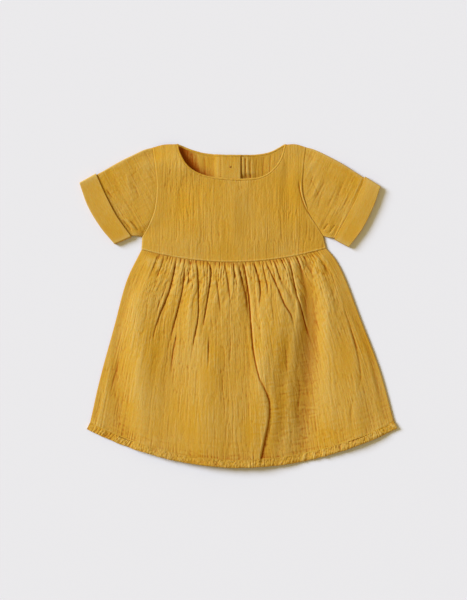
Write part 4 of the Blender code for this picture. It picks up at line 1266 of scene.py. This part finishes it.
def add_sleeve(side, finish, seed):
    upper, inside_cuff = sleeve_patches(side)
    relief = sleeve_relief(side, seed)
    distance = ring_distances(line_across(upper, 0.0))
    stations = np.linspace(0.0, 1.0, 97)
    outer, inner, along = [], [], []

    def add_inner(line, inset, low, high):
        inner.append(flat_ring(line, inset + CLOTH, low + CLOTH, high - CLOTH, distance))

    for s in stations:
        loft = SLEEVE_LOFT[side] * math.sin(math.pi * s**0.8) ** 1.5
        low = CUFFED_LOW * smoothstep(s, 0.3, 1.0)
        high = low + SLEEVE_FLAT_HEIGHT + (SLEEVE_HEIGHT_IN_CUFF - SLEEVE_FLAT_HEIGHT) * s + loft
        line, inset = line_across(upper, s), CUFFED_LOW * smoothstep(s, 0.45, 1.0)
        seam = -0.15 * bell(s, 0.012) + SLEEVE_AT_CUFF[side] * bell(s - 0.95, 0.05)
        swell = armhole_swell(side, "sleeve", SLEEVE_LENGTH * s)

        def top(plan, s=s, seam=seam, swell=swell):
            middle = plateau(np.linspace(0.0, 1.0, len(plan)), 0.05, 0.2, 0.8, 0.98)
            return relief(plan) * smoothstep(s, -0.02, 0.08) + seam + swell * middle

        outer.append(flat_ring(line, inset, low, high, distance, top))
        along.append(SLEEVE_LENGTH * s)
        if s in stations[::16]:
            add_inner(line, inset, low, high)
    high = CUFFED_LOW + SLEEVE_HEIGHT_IN_CUFF
    for s in (0.5, 1.0 - CUFFED_LOW / CUFF_WIDTH):
        line = line_across(inside_cuff, s)
        outer.append(flat_ring(line, CUFFED_LOW, CUFFED_LOW, high, distance))
        add_inner(line, CUFFED_LOW, CUFFED_LOW, high)
        along.append(SLEEVE_LENGTH + CUFF_WIDTH * s)
    inner_along = [SLEEVE_LENGTH * s for s in stations[::16]] + along[-2:]
    loops = np.array(outer + inner[::-1])
    cloth = ring_cloth(loops, np.array(along + inner_along[::-1]))
    shade = ring_shade(loops, len(outer))
    piece = add_loft(f"gauze_sleeve_{side}", loops, finish, True, cloth, shade)
    stand_in(piece, [f"sleeve_{side}"])


def ring_shade(loops, outer_count):
    """Painted shade and highlight on a tube's outer loops, worked out from their heights."""
    height = loops[:outer_count, :, 2]
    half = height.shape[1] // 2 + 1
    shade = np.full(loops.shape[:2], LEVEL_SHADE)
    shade[:outer_count, :half] = painted_relief_shade(height[:, :half])
    return shade


def add_cuff(side, finish, seed):
    """The turned-up cuff: it wraps the sleeve, and its fold covers the sleeve's end."""
    _, plan_at = sleeve_patches(side)
    high = 2 * CUFFED_LOW + SLEEVE_HEIGHT_IN_CUFF
    distance = ring_distances(line_across(plan_at, 0.0))
    grain = sleeve_grain(side)

    def relief_at(s):
        open_edge = CUFF_LIFT[side] * bell(s * CUFF_WIDTH, 5.0)

        def top(plan):
            away, run = grain(plan)
            wave = 0.35 * noise(away / 18, run / 26, seed)
            return 0.25 * crinkle(away, run, seed + 1) + wave + open_edge

        return top

    outer = [
        flat_ring(line_across(plan_at, s), inset, drop, high - drop, distance, relief_at(s))
        for s, inset, drop in CUFF_ROWS
    ]
    inner = [
        flat_ring(line_across(plan_at, s), inset, inset, high - inset, distance)
        for s, inset in CUFF_INNER_ROWS
    ]
    loops = np.array(outer + inner)
    along = [CUFF_WIDTH * s for s, _, _ in CUFF_ROWS] + [CUFF_WIDTH] * 3 + [CUFF_WIDTH / 2, 0.0]
    shade = ring_shade(loops, len(outer))
    # the cuff's rim keeps only part of its painted shade
    shade[:5] = LEVEL_SHADE + CUFF_RIM_SHADE[side] * (shade[:5] - LEVEL_SHADE)
    cloth = ring_cloth(loops, np.array(along))
    piece = add_loft(f"gauze_cuff_{side}", loops, finish, True, cloth, shade)
    stand_in(piece, [f"cuff_{side}"])


# ======== buttons and stitches
def add_buttons(finish, thread):
    for number, y in enumerate(BUTTON_YS, start=1):
        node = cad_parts[f"button_{number}"]
        node.data.materials.clear()
        node.data.materials.append(finish)
        add_button_thread(number, y, thread)


def capsule(start, end, radius, sides=6):
    """Points and faces of one stitch: a short six-sided bar with pointed ends."""
    start, end = Vector(start), Vector(end)
    along = (end - start).normalized()
    side = along.orthogonal().normalized()
    other = along.cross(side)
    turns = [2 * math.pi * k / sides for k in range(sides)]
    spokes = [radius * (math.cos(turn) * side + math.sin(turn) * other) for turn in turns]
    rings = [start.lerp(end, share) + spoke for share in (0.2, 0.8) for spoke in spokes]
    faces = []
    for a in range(1, sides + 1):
        b = a % sides + 1
        faces += [(0, b, a), (a, b, sides + b, sides + a), (2 * sides + 1, sides + a, sides + b)]
    return [start, *rings, end], faces


def add_stitches(name, stitches, radius, thread):
    """Many stitches as one mesh. Each is (start, end)."""
    points, faces = [], []
    for start, end in stitches:
        more, sides = capsule(start, end, radius)
        faces += [tuple(len(points) + k for k in face) for face in sides]
        points += more
    stand_in(new_object(name, points, faces, thread), [])


def facing_top(x, y):
    return float(ridge_height(np.array((x, y)))) + FRONT_REST + CLOTH + 1.15


def add_button_thread(number, y, thread):
    """The stitches that hold a button, as they show on the facing: two short bars, crossed."""
    z = facing_top(BUTTON_X, y) + 0.1
    offsets = (((-1.3, 1.5), (0.1, -1.6)), ((1.4, 1.4), (0.2, -1.5)), ((-1.2, 0.2), (1.2, 0.5)))
    bars = [((BUTTON_X + a, y + b, z), (BUTTON_X + c, y + d, z + 0.15)) for (a, b), (c, d) in offsets]
    add_stitches(f"button_thread_{number}", bars, 0.35, thread)


def add_facing_stitches(thread):
    """Topstitching that holds the facing down along its free edge."""
    x, y, pitch, length = FACING_LEFT + FACING_STITCH, 192.0, 2.6, 1.9
    stitches = []
    while y > 66.0:
        z = facing_top(x, y) - 0.1
        stitches.append(((x, y, z), (x, y - length, z)))
        y -= pitch
    add_stitches("facing_topstitch", stitches, 0.2, thread)


# ======== floor, light, camera
def add_floor():
    bpy.ops.mesh.primitive_plane_add(size=FLOOR_SIZE, location=(0.0, 0.0, FLOOR_LEVEL))
    floor = bpy.context.object
    floor.name = "floor"
    paint = Paint("floor")
    paint.feed(paint.shader, {"Base Color": FLOOR, "Roughness": 0.9})
    floor.data.materials.append(paint.material)


def add_key_light():
    """A soft light from the photo's left, low enough to bring out the relief."""
    lamp = bpy.data.lights.new("key", "SUN")
    lamp.energy = KEY_POWER
    lamp.color = KEY_COLOUR
    lamp.angle = math.radians(KEY_SOFTNESS)
    made = bpy.data.objects.new("key", lamp)
    turn, rise = math.radians(KEY_TURN), math.radians(KEY_RISE)
    towards = Vector((math.cos(rise) * math.cos(turn), math.cos(rise) * math.sin(turn), math.sin(rise)))
    made.rotation_euler = towards.to_track_quat("Z", "Y").to_euler()
    bpy.context.scene.collection.objects.link(made)


def add_room_light():
    world = bpy.data.worlds.new("studio")
    bpy.context.scene.world = world
    world.use_nodes = True
    world.node_tree.nodes["Background"].inputs["Color"].default_value = ROOM_COLOUR
    world.node_tree.nodes["Background"].inputs["Strength"].default_value = ROOM_POWER


def add_camera():
    data = bpy.data.cameras.new("camera")
    data.sensor_width = SENSOR
    data.lens = SENSOR * CAMERA_DISTANCE / (PHOTO_SIZE[1] * PIXEL)
    data.clip_end = 20.0
    made = bpy.data.objects.new("camera", data)
    x = (PHOTO_SIZE[0] / 2 - ORIGIN_PIXEL[0]) * PIXEL
    y = (ORIGIN_PIXEL[1] - PHOTO_SIZE[1] / 2) * PIXEL
    made.location = (x * MM, y * MM, CAMERA_DISTANCE * MM)
    bpy.context.scene.collection.objects.link(made)
    bpy.context.scene.camera = made


def main():
    scene = bpy.context.scene
    scene.view_settings.view_transform = "Standard"
    gauze, thread, button = gauze_material(), thread_material(), button_material()
    add_back_skirt(gauze)
    add_back_bodice(gauze)
    add_front_skirt(gauze)
    add_front_bodice(gauze, add_front_binding(gauze))
    add_front_hem(gauze)
    add_back_hem(gauze)
    for side, seed in (("right", 71), ("left", 81)):
        add_sleeve(side, gauze, seed)
        add_cuff(side, gauze, seed + 5)
    add_buttons(button, thread)
    add_facing_stitches(thread)
    add_floor()
    add_key_light()
    add_room_light()
    add_camera()


main()
